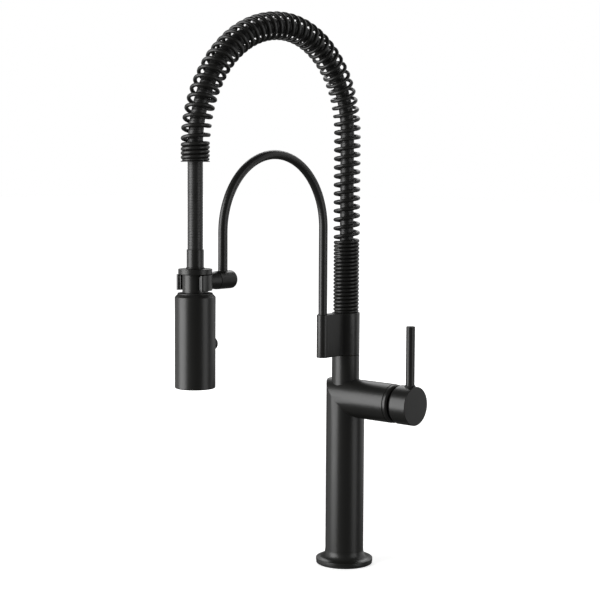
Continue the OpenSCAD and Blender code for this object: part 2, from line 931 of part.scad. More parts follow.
module spray_nozzles() {
    low = wand_bottom - 0.4;
    color(plastic_tone) at_nozzles() difference() {
        along_z(low, nozzle_r, core_low - low);
        along_z(low - cut, 0.4, core_low - low + 2 * cut);
    }
}

module aerator() {
    color(plastic_tone) difference() {
        along_z(aerator_low, aerator_r, core_low + 4 - aerator_low, 0, -reach);
        along_z(aerator_low - cut, aerator_r - 1.8, 2 + cut, 0, -reach);
        along_z(core_low + 1, aerator_r - 2, 4, 0, -reach);
        for (x = [-6 : 2 : 6], y = [-6 : 2 : 6])
            if (norm([x, y]) < aerator_r - 3) along_z(aerator_low, 0.6, core_low, x, y - reach);
    }
}

module button_bezel() {
    color(black) difference() {
        button_bore(bezel_r, core_r - 5.5, wand_r + 1.2);
        button_bore(bezel_bore, core_r - 6.5, wand_r + 2);
    }
}

module spray_button() {
    travel = 2;
    skirt = core_r - 5.5 + travel + 0.4;
    dome_r = 14;
    tip = wand_r + button_rise;
    color(black) intersection() {
        button_bore(button_r, skirt, tip);
        translate([0, -reach + tip - dome_r, button_z]) sphere(r = dome_r);
    }
}

module button_spring() {
    seat = core_r - 5.5;
    color(steel_tone) difference() {
        button_bore(diverter_r + 1.2, seat, seat + 2.3);
        button_bore(diverter_r + 0.2, seat - cut, seat + 3.3);
    }
}

module diverter() {
    color(plastic_tone) button_bore(diverter_r, -4, core_r - 5.5 + 2.4);
}

deck_gasket();
base_flange();
body_shell();
mounting_shank();
mounting_seal();
mounting_washer();
mounting_nut();
jack_screws();
hot_inlet_tube();
cold_inlet_tube();
waterway_block();
port_seals();
outlet_tube();
outlet_o_rings();
swivel_spigot();
glide_ring();
snap_ring();
ceramic_cartridge();
fixed_disc();
cartridge_nut();
bonnet_ring();
moving_disc();
cartridge_spindle();
stem_pin();
lever_stem();
handle_hub();
pin_washer();
lever_pin();
hub_grub_screw();
swivel_collar();
arm_screw();
docking_arm();
spring_seat();
hose_coupling();
arch_hose();
exposed_hose();
spring();
spring_end_ring();
dock_cap();
dock_screw();
dock_clip();
clip_liner();
hose_ferrule();
ferrule_o_ring();
wand_neck();
check_valve();
rim_washer();
wand_shell();
wand_core();
spray_face();
aerator();
spray_nozzles();
button_bezel();
spray_button();
button_spring();
diverter();
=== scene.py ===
# Pull-down kitchen faucet with a spring arch, in matte black. Metres, Z up, spout towards -Y, lever towards
# +X.
import json
import math

import bmesh
import bpy
from mathutils import Matrix, Vector


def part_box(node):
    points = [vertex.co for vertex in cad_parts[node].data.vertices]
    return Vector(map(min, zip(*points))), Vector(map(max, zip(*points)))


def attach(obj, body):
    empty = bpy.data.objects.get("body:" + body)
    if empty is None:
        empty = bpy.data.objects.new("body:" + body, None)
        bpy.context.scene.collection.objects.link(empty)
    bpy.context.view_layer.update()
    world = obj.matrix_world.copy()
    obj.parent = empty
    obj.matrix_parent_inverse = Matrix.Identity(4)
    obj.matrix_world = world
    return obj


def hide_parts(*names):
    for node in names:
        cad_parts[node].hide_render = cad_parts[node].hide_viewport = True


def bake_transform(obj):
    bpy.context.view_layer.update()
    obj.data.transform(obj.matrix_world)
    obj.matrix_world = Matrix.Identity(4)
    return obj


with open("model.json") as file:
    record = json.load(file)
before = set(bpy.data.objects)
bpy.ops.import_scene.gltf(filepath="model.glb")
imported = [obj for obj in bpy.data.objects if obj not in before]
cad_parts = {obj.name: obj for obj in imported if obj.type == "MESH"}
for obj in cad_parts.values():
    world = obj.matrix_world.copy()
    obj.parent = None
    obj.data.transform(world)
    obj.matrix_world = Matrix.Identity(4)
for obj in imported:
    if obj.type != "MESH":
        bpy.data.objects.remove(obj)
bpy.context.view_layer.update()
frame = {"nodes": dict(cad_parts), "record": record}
mm = 0.001

camera = {
    "place": (0.9443, -1.1718, 0.4154),
    "turn": 40.7,  # degrees to the left of +Y
    "tilt": 4.07,  # degrees below the horizon
    "roll": 0.31,
    "lens": 86.94,
    "shift": -0.05,
}

studio = {
    "room": 0.10,  # what the object sees of the room
    "paper": 1.0,  # what the eye sees of the room
    "floorColour": "#f4f4f3",
    "floorGlow": (0.62, 1.0),  # beside the object and far from it
    "floorFade": (0.35, 1.6),
    "floorSize": 14.0,
    # degrees round from the camera, height, distance, width, tall, radiance
    "keySoftbox": (-69, 0.50, 1.7, 1.30, 1.75, 5.2),
    "leftPanel": (-112, 0.30, 1.8, 1.4, 2.0, 0.5),
    "fillSoftbox": (58, 0.45, 1.9, 1.05, 2.0, 1.55),
    "sidePanel": (127, 0.75, 2.0, 2.3, 2.4, 0.75),
    "backSoftbox": (178, 1.75, 2.2, 2.2, 1.3, 2.6),
}


# sRGB hex to linear colour
def toLinear(hexColour):
    parts = [int(hexColour[i:i + 2], 16) / 255 for i in (1, 3, 5)]
    return tuple(p / 12.92 if p <= 0.04045 else ((p + 0.055) / 1.055) ** 2.4 for p in parts) + (1,)


# Adds a node, sets its own settings, and links or sets its inputs
def addNode(tree, kind, inputs=None, **settings):
    made = tree.nodes.new(kind)
    for name, value in settings.items():
        setattr(made, name, value)
    for key, value in (inputs or {}).items():
        if isinstance(value, bpy.types.Node):
            value = value.outputs[0]
        if isinstance(value, bpy.types.NodeSocket):
            tree.links.new(value, made.inputs[key])
        else:
            made.inputs[key].default_value = value
    return made


def makeCamera():
    data = bpy.data.cameras.new("camera")
    data.lens = camera["lens"]
    data.shift_y = camera["shift"]
    made = bpy.data.objects.new("camera", data)
    turned = Matrix.Rotation(math.radians(camera["turn"]), 4, "Z")
    tilted = Matrix.Rotation(math.radians(90 - camera["tilt"]), 4, "X")
    rolled = Matrix.Rotation(math.radians(camera["roll"]), 4, "Z")
    made.matrix_world = Matrix.Translation(camera["place"]) @ turned @ tilted @ rolled
    bpy.context.scene.collection.objects.link(made)
    bpy.context.scene.camera = made


# The object sees a dark room with softboxes in it, and the eye sees white paper behind it
def makeRoom():
    world = bpy.data.worlds.new("studio")
    world.use_nodes = True
    tree = world.node_tree
    tree.nodes.clear()
    path = addNode(tree, "ShaderNodeLightPath")
    dark = addNode(tree, "ShaderNodeBackground", {"Color": (1, 1, 1, 1), "Strength": studio["room"]})
    paper = addNode(tree, "ShaderNodeBackground", {"Color": (1, 1, 1, 1), "Strength": studio["paper"]})
    both = addNode(tree, "ShaderNodeMixShader", {
        0: path.outputs["Is Camera Ray"], 1: dark.outputs[0], 2: paper.outputs[0]})
    addNode(tree, "ShaderNodeOutputWorld", {"Surface": both.outputs[0]})
    bpy.context.scene.world = world


def makeSoftbox(name):
    turn, height, distance, width, tall, radiance = studio[name]
    angle = math.radians(camera["turn"] + turn)
    data = bpy.data.lights.new(name, "AREA")
    data.shape = "RECTANGLE"
    data.size = width
    data.size_y = tall
    data.energy = radiance * math.pi * width * tall
    made = bpy.data.objects.new(name, data)
    place = Vector((math.sin(angle) * distance, -math.cos(angle) * distance, height))
    aim = Vector((0, -0.1, 0.3)) - place
    made.location = place
    made.rotation_euler = aim.to_track_quat("-Z", "Y").to_euler()
    made.visible_camera = False
    bpy.context.scene.collection.objects.link(made)


def makeFloor():
    size = studio["floorSize"]
    mesh = bpy.data.meshes.new("floor")
    mesh.from_pydata([(-size, -size, 0), (size, -size, 0), (size, size, 0), (-size, size, 0)], [],
    [(0, 1, 2, 3)])
    made = bpy.data.objects.new("floor", mesh)
    bpy.context.scene.collection.objects.link(made)
    material = bpy.data.materials.new("seamlessPaper")
    material.use_nodes = True
    tree = material.node_tree
    shader = tree.nodes["Principled BSDF"]
    shader.inputs["Base Color"].default_value = toLinear(studio["floorColour"])
    shader.inputs["Roughness"].default_value = 0.9
    shader.inputs["Specular IOR Level"].default_value = 0.1
    shader.inputs["Emission Color"].default_value = (1, 1, 1, 1)
    place = addNode(tree, "ShaderNodeTexCoord").outputs["Object"]
    away = addNode(tree, "ShaderNodeVectorMath", {0: place}, operation="LENGTH").outputs["Value"]
    near, far = studio["floorFade"]
    low, high = studio["floorGlow"]
    glow = addNode(tree, "ShaderNodeMapRange", {
        "Value": away, "From Min": near, "From Max": far, "To Min": low, "To Max": high},
        interpolation_type="SMOOTHSTEP")
    tree.links.new(glow.outputs["Result"], shader.inputs["Emission Strength"])
    mesh.materials.append(material)
    made.visible_diffuse = False
    made.visible_glossy = False
    made.visible_shadow = False


makeCamera()
makeRoom()
for softbox in ("keySoftbox", "leftPanel", "fillSoftbox", "sidePanel", "backSoftbox"):
    makeSoftbox(softbox)
makeFloor()
bpy.context.scene.view_settings.view_transform = "Standard"
print("studio ready")


# A material with its shader and a set of object coordinates
def startMaterial(name):
    material = bpy.data.materials.new(name)
    material.use_nodes = True
    tree = material.node_tree
    shader = tree.nodes["Principled BSDF"]
    place = addNode(tree, "ShaderNodeTexCoord").outputs["Object"]
    return material, tree, shader, place


# A surface with a grain: colour, roughness and bump each follow noise of a real size in millimetres
def grainySurface(name, look):
    material, tree, shader, place = startMaterial(name)
    cloud = addNode(tree, "ShaderNodeTexNoise", {
        "Vector": place, "Scale": 1000 / look["cloudSize"], "Detail": 3.0, "Roughness": 0.55})
    grain = addNode(tree, "ShaderNodeTexNoise", {
        "Vector": place, "Scale": 1000 / look["grainSize"], "Detail": 2.0, "Roughness": 0.5})
    colour = addNode(tree, "ShaderNodeMix", {
        0: cloud.outputs["Fac"], 6: toLinear(look["colour"]), 7: toLinear(look["otherColour"])},
        data_type="RGBA")
    rough = addNode(tree, "ShaderNodeMapRange", {
        "Value": cloud.outputs["Fac"], "From Min": 0.3, "From Max": 0.7,
        "To Min": look["roughness"] - look["roughSpread"], "To Max": look["roughness"] + look["roughSpread"]})
    bump = addNode(tree, "ShaderNodeBump", {
        "Height": grain.outputs["Fac"], "Strength": look["bumpStrength"], "Distance": look["bumpDepth"] * mm})
    tree.links.new(colour.outputs[2], shader.inputs["Base Color"])
    tree.links.new(rough.outputs["Result"], shader.inputs["Roughness"])
    tree.links.new(bump.outputs["Normal"], shader.inputs["Normal"])
    shader.inputs["Metallic"].default_value = look.get("metallic", 0.0)
    if "ior" in look:
        shader.inputs["IOR"].default_value = look["ior"]
    for socket, value in look.get("sockets", {}).items():
        shader.inputs[socket].default_value = value
    return material


# cloudSize and grainSize are in millimetres, and grains are drawn coarser than real ones so that they show
looks = {
    # Polyester powder coat, baked on metal: a soft, even sheen over a very fine orange peel
    "matte_black_metal": {
        "name": "blackPowderCoat", "colour": "#191918", "otherColour": "#1d1d1b", "cloudSize": 38,
        "roughness": 0.35, "roughSpread": 0.02, "grainSize": 0.9, "bumpStrength": 0.25, "bumpDepth": 0.02,
        "ior": 1.5},
    # The same coat on spring wire: a little glossier, because it is thinner there
    "matte_black_spring": {
        "name": "coatedSpringWire", "colour": "#181817", "otherColour": "#1e1e1c", "cloudSize": 22,
        "roughness": 0.38, "roughSpread": 0.03, "grainSize": 0.7, "bumpStrength": 0.25, "bumpDepth": 0.02,
        "ior": 1.5},
    # Extruded nylon hose cover: satin ribs with a dry bloom between them
    "hose_rubber": {
        "name": "nylonHoseCover", "colour": "#1b1b1a", "otherColour": "#222221", "cloudSize": 14,
        "roughness": 0.42, "roughSpread": 0.05, "grainSize": 0.6, "bumpStrength": 0.3, "bumpDepth": 0.03,
        "ior": 1.52},
    # Moulded EPDM: dead flat black that takes up dust in its pores
    "black_rubber": {
        "name": "sealRubber", "colour": "#111111", "otherColour": "#181817", "cloudSize": 9,
        "roughness": 0.75, "roughSpread": 0.08, "grainSize": 0.5, "bumpStrength": 0.5, "bumpDepth": 0.04,
        "ior": 1.52},
    # Moulded ABS with a spark-eroded grain
    "black_plastic": {
        "name": "grainedAbs", "colour": "#141414", "otherColour": "#191918", "cloudSize": 16,
        "roughness": 0.48, "roughSpread": 0.05, "grainSize": 0.6, "bumpStrength": 0.4, "bumpDepth": 0.03,
        "ior": 1.54},
    # Dark grey acetal of the aerator
    "grey_plastic": {
        "name": "greyAcetal", "colour": "#4b4b4a", "otherColour": "#545453", "cloudSize": 12,
        "roughness": 0.42, "roughSpread": 0.04, "grainSize": 0.5, "bumpStrength": 0.3, "bumpDepth": 0.02,
        "ior": 1.48},
    # Natural acetal: milky, waxy and slightly see-through at its edges
    "white_plastic": {
        "name": "naturalAcetal", "colour": "#e2e1da", "otherColour": "#ebeae4", "cloudSize": 20,
        "roughness": 0.40, "roughSpread": 0.05, "grainSize": 0.8, "bumpStrength": 0.2, "bumpDepth": 0.02,
        "ior": 1.48,
        "sockets": {"Subsurface Weight": 0.15, "Subsurface Scale": 0.002}},
    # Liquid silicone: soft grey with a satin skin
    "nozzle_silicone": {
        "name": "greySilicone", "colour": "#5a5a58", "otherColour": "#646462", "cloudSize": 6,
        "roughness": 0.50, "roughSpread": 0.06, "grainSize": 0.4, "bumpStrength": 0.3, "bumpDepth": 0.02,
        "ior": 1.41,
        "sockets": {"Subsurface Weight": 0.2, "Subsurface Scale": 0.001}},
    # Lapped alumina: chalk white with a wet gloss
    "ceramic": {
        "name": "lappedAlumina", "colour": "#eceae2", "otherColour": "#f3f1ea", "cloudSize": 10,
        "roughness": 0.14, "roughSpread": 0.03, "grainSize": 0.3, "bumpStrength": 0.1, "bumpDepth": 0.01,
        "ior": 1.76},
    # Turned brass that has dulled a little in handling
    "brass": {
        "name": "turnedBrass", "colour": "#c8a35a", "otherColour": "#b28c45", "cloudSize": 18,
        "metallic": 1.0,
        "roughness": 0.30, "roughSpread": 0.07, "grainSize": 0.35, "bumpStrength": 0.3, "bumpDepth": 0.02},
    # Drawn copper tube with a brown bloom
    "copper": {
        "name": "drawnCopper", "colour": "#c77b55", "otherColour": "#a86143", "cloudSize": 15,
        "metallic": 1.0,
        "roughness": 0.33, "roughSpread": 0.08, "grainSize": 0.5, "bumpStrength": 0.25, "bumpDepth": 0.02},
    # Stainless steel fasteners, tumbled
    "steel": {
        "name": "tumbledSteel", "colour": "#b9bbbd", "otherColour": "#a6a8aa", "cloudSize": 9,
        "metallic": 1.0,
        "roughness": 0.32, "roughSpread": 0.06, "grainSize": 0.4, "bumpStrength": 0.3, "bumpDepth": 0.02},
}
finishes = {slotName: grainySurface(look["name"], look) for slotName, look in looks.items()}

for part in frame["record"]["subparts"]:
    for holder in frame["nodes"][part["node"]].material_slots:
        holder.material = finishes[part["material_slot"]]
print("finishes mixed:", len(finishes))


# Puts a finished piece on its body, in place of the nodes that it stands for
def fit(piece, body, slotName, *nodes):
    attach(piece, body)
    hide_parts(*nodes)


# A new object from a mesh that bmesh holds: doubles merged, normals outward, smooth up to a corner angle
def fromBmesh(bm, name, slotName, corner=32):
    bmesh.ops.remove_doubles(bm, verts=bm.verts, dist=0.002 * mm)
    bmesh.ops.recalc_face_normals(bm, faces=bm.faces)
    mesh = bpy.data.meshes.new(name)
    bm.to_mesh(mesh)
    bm.free()
    smoothUpTo(mesh, corner)
    mesh.materials.append(finishes[slotName])
    made = bpy.data.objects.new(name, mesh)
    bpy.context.scene.collection.objects.link(made)
    return made


# Smooths every face, and keeps the edges above the corner angle crisp
def smoothUpTo(mesh, corner):
    mesh.polygons.foreach_set("use_smooth", [True] * len(mesh.polygons))
    mesh.set_sharp_from_angle(angle=math.radians(corner))


# Rounds the corners of an outline. Each corner is (x, y) or (x, y, radius), in millimetres
def rounded(corners, closed=True, steps=6, support=0.35):
    points = []
    count = len(corners)
    for i, corner in enumerate(corners):
        here = Vector(corner[:2])
        radius = corner[2] if len(corner) > 2 else 0
        if radius == 0 or (not closed and i in (0, count - 1)):
            points.append(here)
            continue
        before = Vector(corners[i - 1][:2]) - here
        after = Vector(corners[(i + 1) % count][:2]) - here
        half = before.angle(after) / 2
        back = radius / math.tan(half)
        start = here + before.normalized() * back
        end = here + after.normalized() * back
        middle = here + (before.normalized() + after.normalized()).normalized() * (radius / math.sin(half))
        first = start - middle
        turn = first.angle_signed(end - middle)
        for k in range(steps + 1):
            points.append(middle + Matrix.Rotation(-turn * k / steps, 2) @ first)
    # A support point near each end of a long straight keeps the shading of the flats even
    kept = []
    for i, point in enumerate(points):
        kept.append(point)
        if not closed and i == len(points) - 1:
            break
        step = points[(i + 1) % len(points)] - point
        if step.length > 4 * support:
            kept.append(point + step.normalized() * support)
            kept.append(point + step - step.normalized() * support)
    return kept


# Turns an outline of (radius, height) about an axis. An outline that starts and ends on the axis is closed by
# it
def turned(name, slotName, corners, axis="Z", centre=(0, 0, 0), segments=128, steps=6, support=0.35):
    onAxis = corners[0][0] == 0 and corners[-1][0] == 0
    outline = rounded(corners, closed=not onAxis, steps=steps, support=support)
    bm = bmesh.new()
    rings = []
    for k in range(segments):
        angle = 2 * math.pi * k / segments
        ring = []
        for radius, height in outline:
            a, b = radius * math.cos(angle), radius * math.sin(angle)
            spot = {"X": (height, a, b), "Y": (b, height, a), "Z": (a, b, height)}[axis]
            ring.append(bm.verts.new(Vector(spot) * mm + Vector(centre)))
        rings.append(ring)
    last = len(outline) if not onAxis else len(outline) - 1
    for k in range(segments):
        one, two = rings[k], rings[(k + 1) % segments]
        for j in range(last):
            n = (j + 1) % len(outline)
            bm.faces.new((one[j], two[j], two[n], one[n]))
    return fromBmesh(bm, name, slotName)


# Extrudes an outline of (x, y) in millimetres between two heights in millimetres, with rounded rims
def extruded(name, slotName, outline, low, high, rim, centre=(0, 0, 0), corner=32):
    bm = bmesh.new()
    foot = [bm.verts.new(Vector((x, y, low)) * mm + Vector(centre)) for x, y in outline]
    top = [bm.verts.new(Vector((x, y, high)) * mm + Vector(centre)) for x, y in outline]
    bm.faces.new(reversed(foot))
    bm.faces.new(top)
    count = len(outline)
    for i in range(count):
        bm.faces.new((foot[i], foot[(i + 1) % count], top[(i + 1) % count], top[i]))
    made = fromBmesh(bm, name, slotName, corner)
    bevel = made.modifiers.new("rims", "BEVEL")
    bevel.width = rim * mm
    bevel.segments = 4
    bevel.limit_method = "ANGLE"
    bevel.angle_limit = math.radians(60)
    applyModifiers(made, corner)
    return made


# Turns an object's live modifiers into plain mesh
def applyModifiers(piece, corner=32):
    seen = piece.evaluated_get(bpy.context.evaluated_depsgraph_get())
    mesh = bpy.data.meshes.new_from_object(seen)
    piece.modifiers.clear()
    piece.data = mesh
    smoothUpTo(mesh, corner)


# Adds or takes away the shapes of helper pieces, which are then thrown away
def carve(piece, helpers, operation="DIFFERENCE", corner=32):
    for helper in helpers:
        cutter = piece.modifiers.new("carve", "BOOLEAN")
        cutter.operation = operation
        cutter.solver = "EXACT"
        cutter.object = helper
        applyModifiers(piece, corner)
        bpy.data.objects.remove(helper)


# Sweeps a round section along a path of points in metres, with closed ends
def swept(name, slotName, path, radius, sides=48):
    bm = bmesh.new()
    rings = []
    for i, point in enumerate(path):
        ahead = path[min(i + 1, len(path) - 1)] - path[max(i - 1, 0)]
        ahead.normalize()
        across = Vector((1, 0, 0))
        up = ahead.cross(across)
        rings.append([bm.verts.new(point + (across * math.cos(2 * math.pi * k / sides)
                                            + up * math.sin(2 * math.pi * k / sides)) * radius)
                      for k in range(sides)])
    for one, two in zip(rings, rings[1:]):
        for k in range(sides):
            n = (k + 1) % sides
            bm.faces.new((one[k], one[n], two[n], two[k]))
    bm.faces.new(rings[0])
    bm.faces.new(rings[-1])
    return fromBmesh(bm, name, slotName)


# Sizes that many pieces share, read from the frame
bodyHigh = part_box("body_shell")[1]
collarLow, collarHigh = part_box("swivel_collar")
armLow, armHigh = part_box("docking_arm")
wandLow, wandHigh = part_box("wand_shell")
hoseLow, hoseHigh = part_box("exposed_hose")
flangeLow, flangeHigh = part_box("base_flange")
bonnetLow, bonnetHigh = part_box("bonnet_ring")
hubLow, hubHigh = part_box("handle_hub")
pinLow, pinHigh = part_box("lever_pin")
archLow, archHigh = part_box("arch_hose")
columnR = bodyHigh.y
valveZ = (bonnetLow.z + bonnetHigh.z) / 2
wandY = (wandLow.y + wandHigh.y) / 2
hoseR = hoseHigh.x

base = {
    "filletR": 8.5,
    "edgeR": 0.6,
    "gasketInset": 0.35,
}


def makeBase():
    size = flangeHigh.x / mm
    low, high = flangeLow.z / mm, flangeHigh.z / mm
    inner = columnR / mm
    plate = high - base["filletR"]
    flange = turned("baseFlange", "matte_black_metal", [
        (inner - 2, low), (size, low, 0.3), (size, plate, base["edgeR"]),
        (inner + 0.15, plate, base["filletR"] - 0.2),
        (inner + 0.15, high), (inner - 2, high)], segments=192, steps=12)
    fit(flange, "body", "matte_black_metal", "base_flange")
    rubber = turned("deckGasket", "black_rubber", [
        (inner - 2, 0), (size - base["gasketInset"], 0, 0.4), (size - base["gasketInset"], low, 0.4),
        (inner - 2, low)], segments=160, steps=4)
    fit(rubber, "body", "black_rubber", "deck_gasket")


makeBase()
print("base made")

elbow = {
    "round": 4.5,  # radius of the round over the outer corner
    "columnBore": 17.0,
    "valveBore": 17.6,
    "neckBore": 11.5,
    "outletBore": 6.1,
    "segments": 160,
    "roundSteps": 10,
    "crease": 12,  # degrees: the mitre stays a crisp line nearly all the way round
    "neckHoleFoot": 21.5,
}


# The column and the valve housing meet on a 45 degree plane, and a round runs over the outer corner
def elbowRing(angle, column):
    x, y = column * math.cos(angle), column * math.sin(angle)
    centre = column - elbow["round"]
    if x + centre >= -elbow["round"] / math.sqrt(2):
        return [(x, y, -x)] * (elbow["roundSteps"] + 1)
    rise = math.sqrt(max(elbow["round"] ** 2 - (x + centre) ** 2, 0))
    first = math.atan2(rise, x + centre)
    last = math.pi * 3 / 2 - first
    points = []
    for k in range(elbow["roundSteps"] + 1):
        a = first + (last - first) * k / elbow["roundSteps"]
        points.append((-centre + elbow["round"] * math.cos(a), y, centre + elbow["round"] * math.sin(a)))
    return points


def makeBodyShell():
    column = columnR / mm
    valve = valveZ / mm
    end = bodyHigh.x / mm
    foot = flangeHigh.z / mm - 12
    bm = bmesh.new()
    strips = []
    for k in range(elbow["segments"]):
        angle = 2 * math.pi * (k + 0.5) / elbow["segments"]
        corner = elbowRing(angle, column)
        x, y = corner[0][0], corner[0][1]
        up = corner[-1][2]
        strip = [(x, y, foot - valve), (x, y, -column - 4)] + corner + [(column + 4, y, up),
            (end - 0.5, y, up)]
        rim = (column - 0.4) / column
        strip += [(end - 0.12, y * (1 + rim) / 2, up * (1 + rim) / 2), (end, y * rim, up * rim)]
        strips.append([bm.verts.new(Vector((px, py, pz + valve)) * mm) for px, py, pz in strip])
    count = len(strips)
    for i in range(count):
        one, two = strips[i], strips[(i + 1) % count]
        for j in range(len(one) - 1):
            bm.faces.new((one[j], two[j], two[j + 1], one[j + 1]))
    bm.faces.new([strip[0] for strip in strips])
    bm.faces.new([strip[-1] for strip in strips])
    shell = fromBmesh(bm, "bodyShell", "matte_black_metal", elbow["crease"])
    top = bodyHigh.z / mm
    neckR = collarHigh.x / mm
    neck = turned("neckShape", "matte_black_metal", [
        (0, valve), (neckR, valve), (neckR, top, 0.4), (0, top)], segments=elbow["segments"])
    carve(shell, [neck], "UNION", elbow["crease"])
    neckFoot = valve + elbow["neckHoleFoot"]
    bores = [
        turned("columnHole", "matte_black_metal", [
            (0, foot - 5), (elbow["columnBore"], foot - 5), (elbow["columnBore"], valve), (0, valve)]),
        turned("valveHole", "matte_black_metal", [
            (0, -5), (elbow["valveBore"], -5), (elbow["valveBore"], end + 5), (0, end + 5)], "X",
            (0, 0, valveZ)),
        turned("outletHole", "matte_black_metal", [
            (0, valve), (elbow["outletBore"], valve), (elbow["outletBore"], top), (0, top)]),
        turned("neckHole", "matte_black_metal", [
            (0, neckFoot), (elbow["neckBore"], neckFoot), (elbow["neckBore"], top + 5),
            (0, top + 5)]),
    ]
    carve(shell, bores, corner=elbow["crease"])
    fit(shell, "body", "matte_black_metal", "body_shell")


makeBodyShell()
print("body shell made")

valve = {
    "bonnetBore": 13.0,
    "bonnetRound": 1.9,
    "bonnetNose": 1.2,
    "hubChamfer": 1.6,
    "hubEdge": 0.5,
    "cupR": 17.3,
    "cupDepth": 8.8,
    "bonnetInset": 2.6,  # its barrel is this much smaller than the housing
    "bonnetSeam": 0.25,
    "screwHoleR": 2.2,
    "pinDeep": 3,
    "washerWide": 1.05,
    "washerDeep": 1.1,
    "washerTall": 1.0,
}


def makeValvePieces():
    centre = (0, 0, valveZ)
    start, end = bodyHigh.x / mm + valve["bonnetSeam"], bonnetHigh.x / mm
    barrelR = columnR / mm - valve["bonnetInset"]
    size = bonnetHigh.y / mm
    nose = size - valve["bonnetNose"]
    ring = turned("bonnetRing", "matte_black_metal", [
        (valve["bonnetBore"], bonnetLow.x / mm), (barrelR, bonnetLow.x / mm),
        (barrelR, start),
        (size, start, 0.3), (size, end - valve["bonnetRound"], 1.6), (nose, end, 0.3),
        (valve["bonnetBore"], end)],
        "X", centre, segments=160)
    fit(ring, "body", "matte_black_metal", "bonnet_ring")
    first, last = hubLow.x / mm, hubHigh.x / mm
    big = hubHigh.y / mm
    cup = first + valve["cupDepth"]
    hub = turned("handleHub", "matte_black_metal", [
        (0, cup), (valve["cupR"], cup), (valve["cupR"], first), (big - valve["hubChamfer"], first, 0.3),
        (big, first + 2.2, 0.6), (big, last, valve["hubEdge"]), (0, last)], "X", centre, segments=160)
    pinX = (pinLow.x + pinHigh.x) / 2
    pinR = (pinHigh.x - pinLow.x) / 2 / mm
    rest = valveZ / mm + big
    seat = rest - valve["pinDeep"]
    below, inside = valveZ / mm - big - 1, valveZ / mm - 8
    keyR = valve["screwHoleR"]
    keyHole = turned("keyHole", "matte_black_metal", [
        (0, below), (keyR, below), (keyR, inside), (0, inside)], centre=(pinX, 0, 0), segments=48)
    pinHole = turned("pinHole", "matte_black_metal", [
        (0, seat), (pinR + 0.02, seat), (pinR + 0.02, rest + 2), (0, rest + 2)],
        centre=(pinX, 0, 0), segments=64)
    carve(hub, [keyHole, pinHole])
    fit(hub, "lever", "matte_black_metal", "handle_hub")
    tip = pinHigh.z / mm
    pin = turned("leverPin", "matte_black_metal", [
        (0, seat), (pinR, seat), (pinR, tip, 0.7), (0, tip)], centre=(pinX, 0, 0), segments=72)
    fit(pin, "lever", "matte_black_metal", "lever_pin")
    foot, top = rest - valve["washerDeep"], rest + valve["washerTall"]
    washerR = pinR + valve["washerWide"]
    washer = turned("pinWasher", "black_rubber", [
        (pinR, foot), (washerR, foot), (washerR, top, 0.5), (pinR, top, 0.2)],
        centre=(pinX, 0, 0), segments=72, steps=4)
    fit(washer, "lever", "black_rubber", "pin_washer")


makeValvePieces()
print("valve and lever made")

collar = {
    "plateHalf": 5.95,  # the plate is a hair thinner than its post, which shows as a line
    "postR": 6.15,
    "cornerFillet": 1.2,
    "rim": 0.45,
    "arcSteps": 96,
}

arm = {
    "bowSteps": 72,
    "socketRing": 0.9,
}


def collarOutline():
    big = collarHigh.x / mm
    post = -(collarLow.y / mm + collar["postR"])
    plate = collar["plateHalf"]
    gap = math.asin((plate + collar["cornerFillet"] * 0.9) / (big + collar["cornerFillet"] * 0.2))
    outline = []
    for k in range(collar["arcSteps"] + 1):
        a = -math.pi / 2 + gap + (2 * math.pi - 2 * gap) * k / collar["arcSteps"]
        outline.append((big * math.cos(a), big * math.sin(a)))
    meet = -math.sqrt(big ** 2 - plate ** 2) - collar["cornerFillet"] * 0.8
    outline.append((-plate, meet))
    outline.append((-plate, -post + 1.6))
    outline.append((-collar["postR"], -post + 1.4))
    for k in range(33):
        a = math.pi + math.pi * k / 32
        outline.append((collar["postR"] * math.cos(a), -post + collar["postR"] * math.sin(a)))
    outline.append((collar["postR"], -post + 1.4))
    outline.append((plate, -post + 1.6))
    outline.append((plate, meet))
    return outline


def makeCollar():
    low, high = collarLow.z / mm, collarHigh.z / mm
    made = extruded("swivelCollar", "matte_black_metal", collarOutline(), low, high, collar["rim"])
    postY = armHigh.y - (armHigh.x - armLow.x) / 2
    armR = armHigh.x / mm
    holes = [
        turned("spigotHole", "matte_black_metal", [(0, low - 2), (11.55, low - 2), (11.55, high), (0, high)]),
        turned("collarWell", "matte_black_metal", [
            (0, high - 14.8), (13.2, high - 14.8), (13.2, high + 2), (0, high + 2)]),
        turned("armHole", "matte_black_metal", [
            (0, low + 7.4), (armR, low + 7.4), (armR, high + 2), (0, high + 2)], centre=(0, postY, 0)),
        turned("screwHole", "matte_black_metal", [
            (0, low - 2), (4.4, low - 2), (4.4, low + 4.4), (3.3, low + 4.4), (3.3, low + 9), (0, low + 9)],
            centre=(0, postY, 0), segments=64),
    ]
    carve(made, holes)
    fit(made, "spout", "matte_black_metal", "swivel_collar")
    return postY


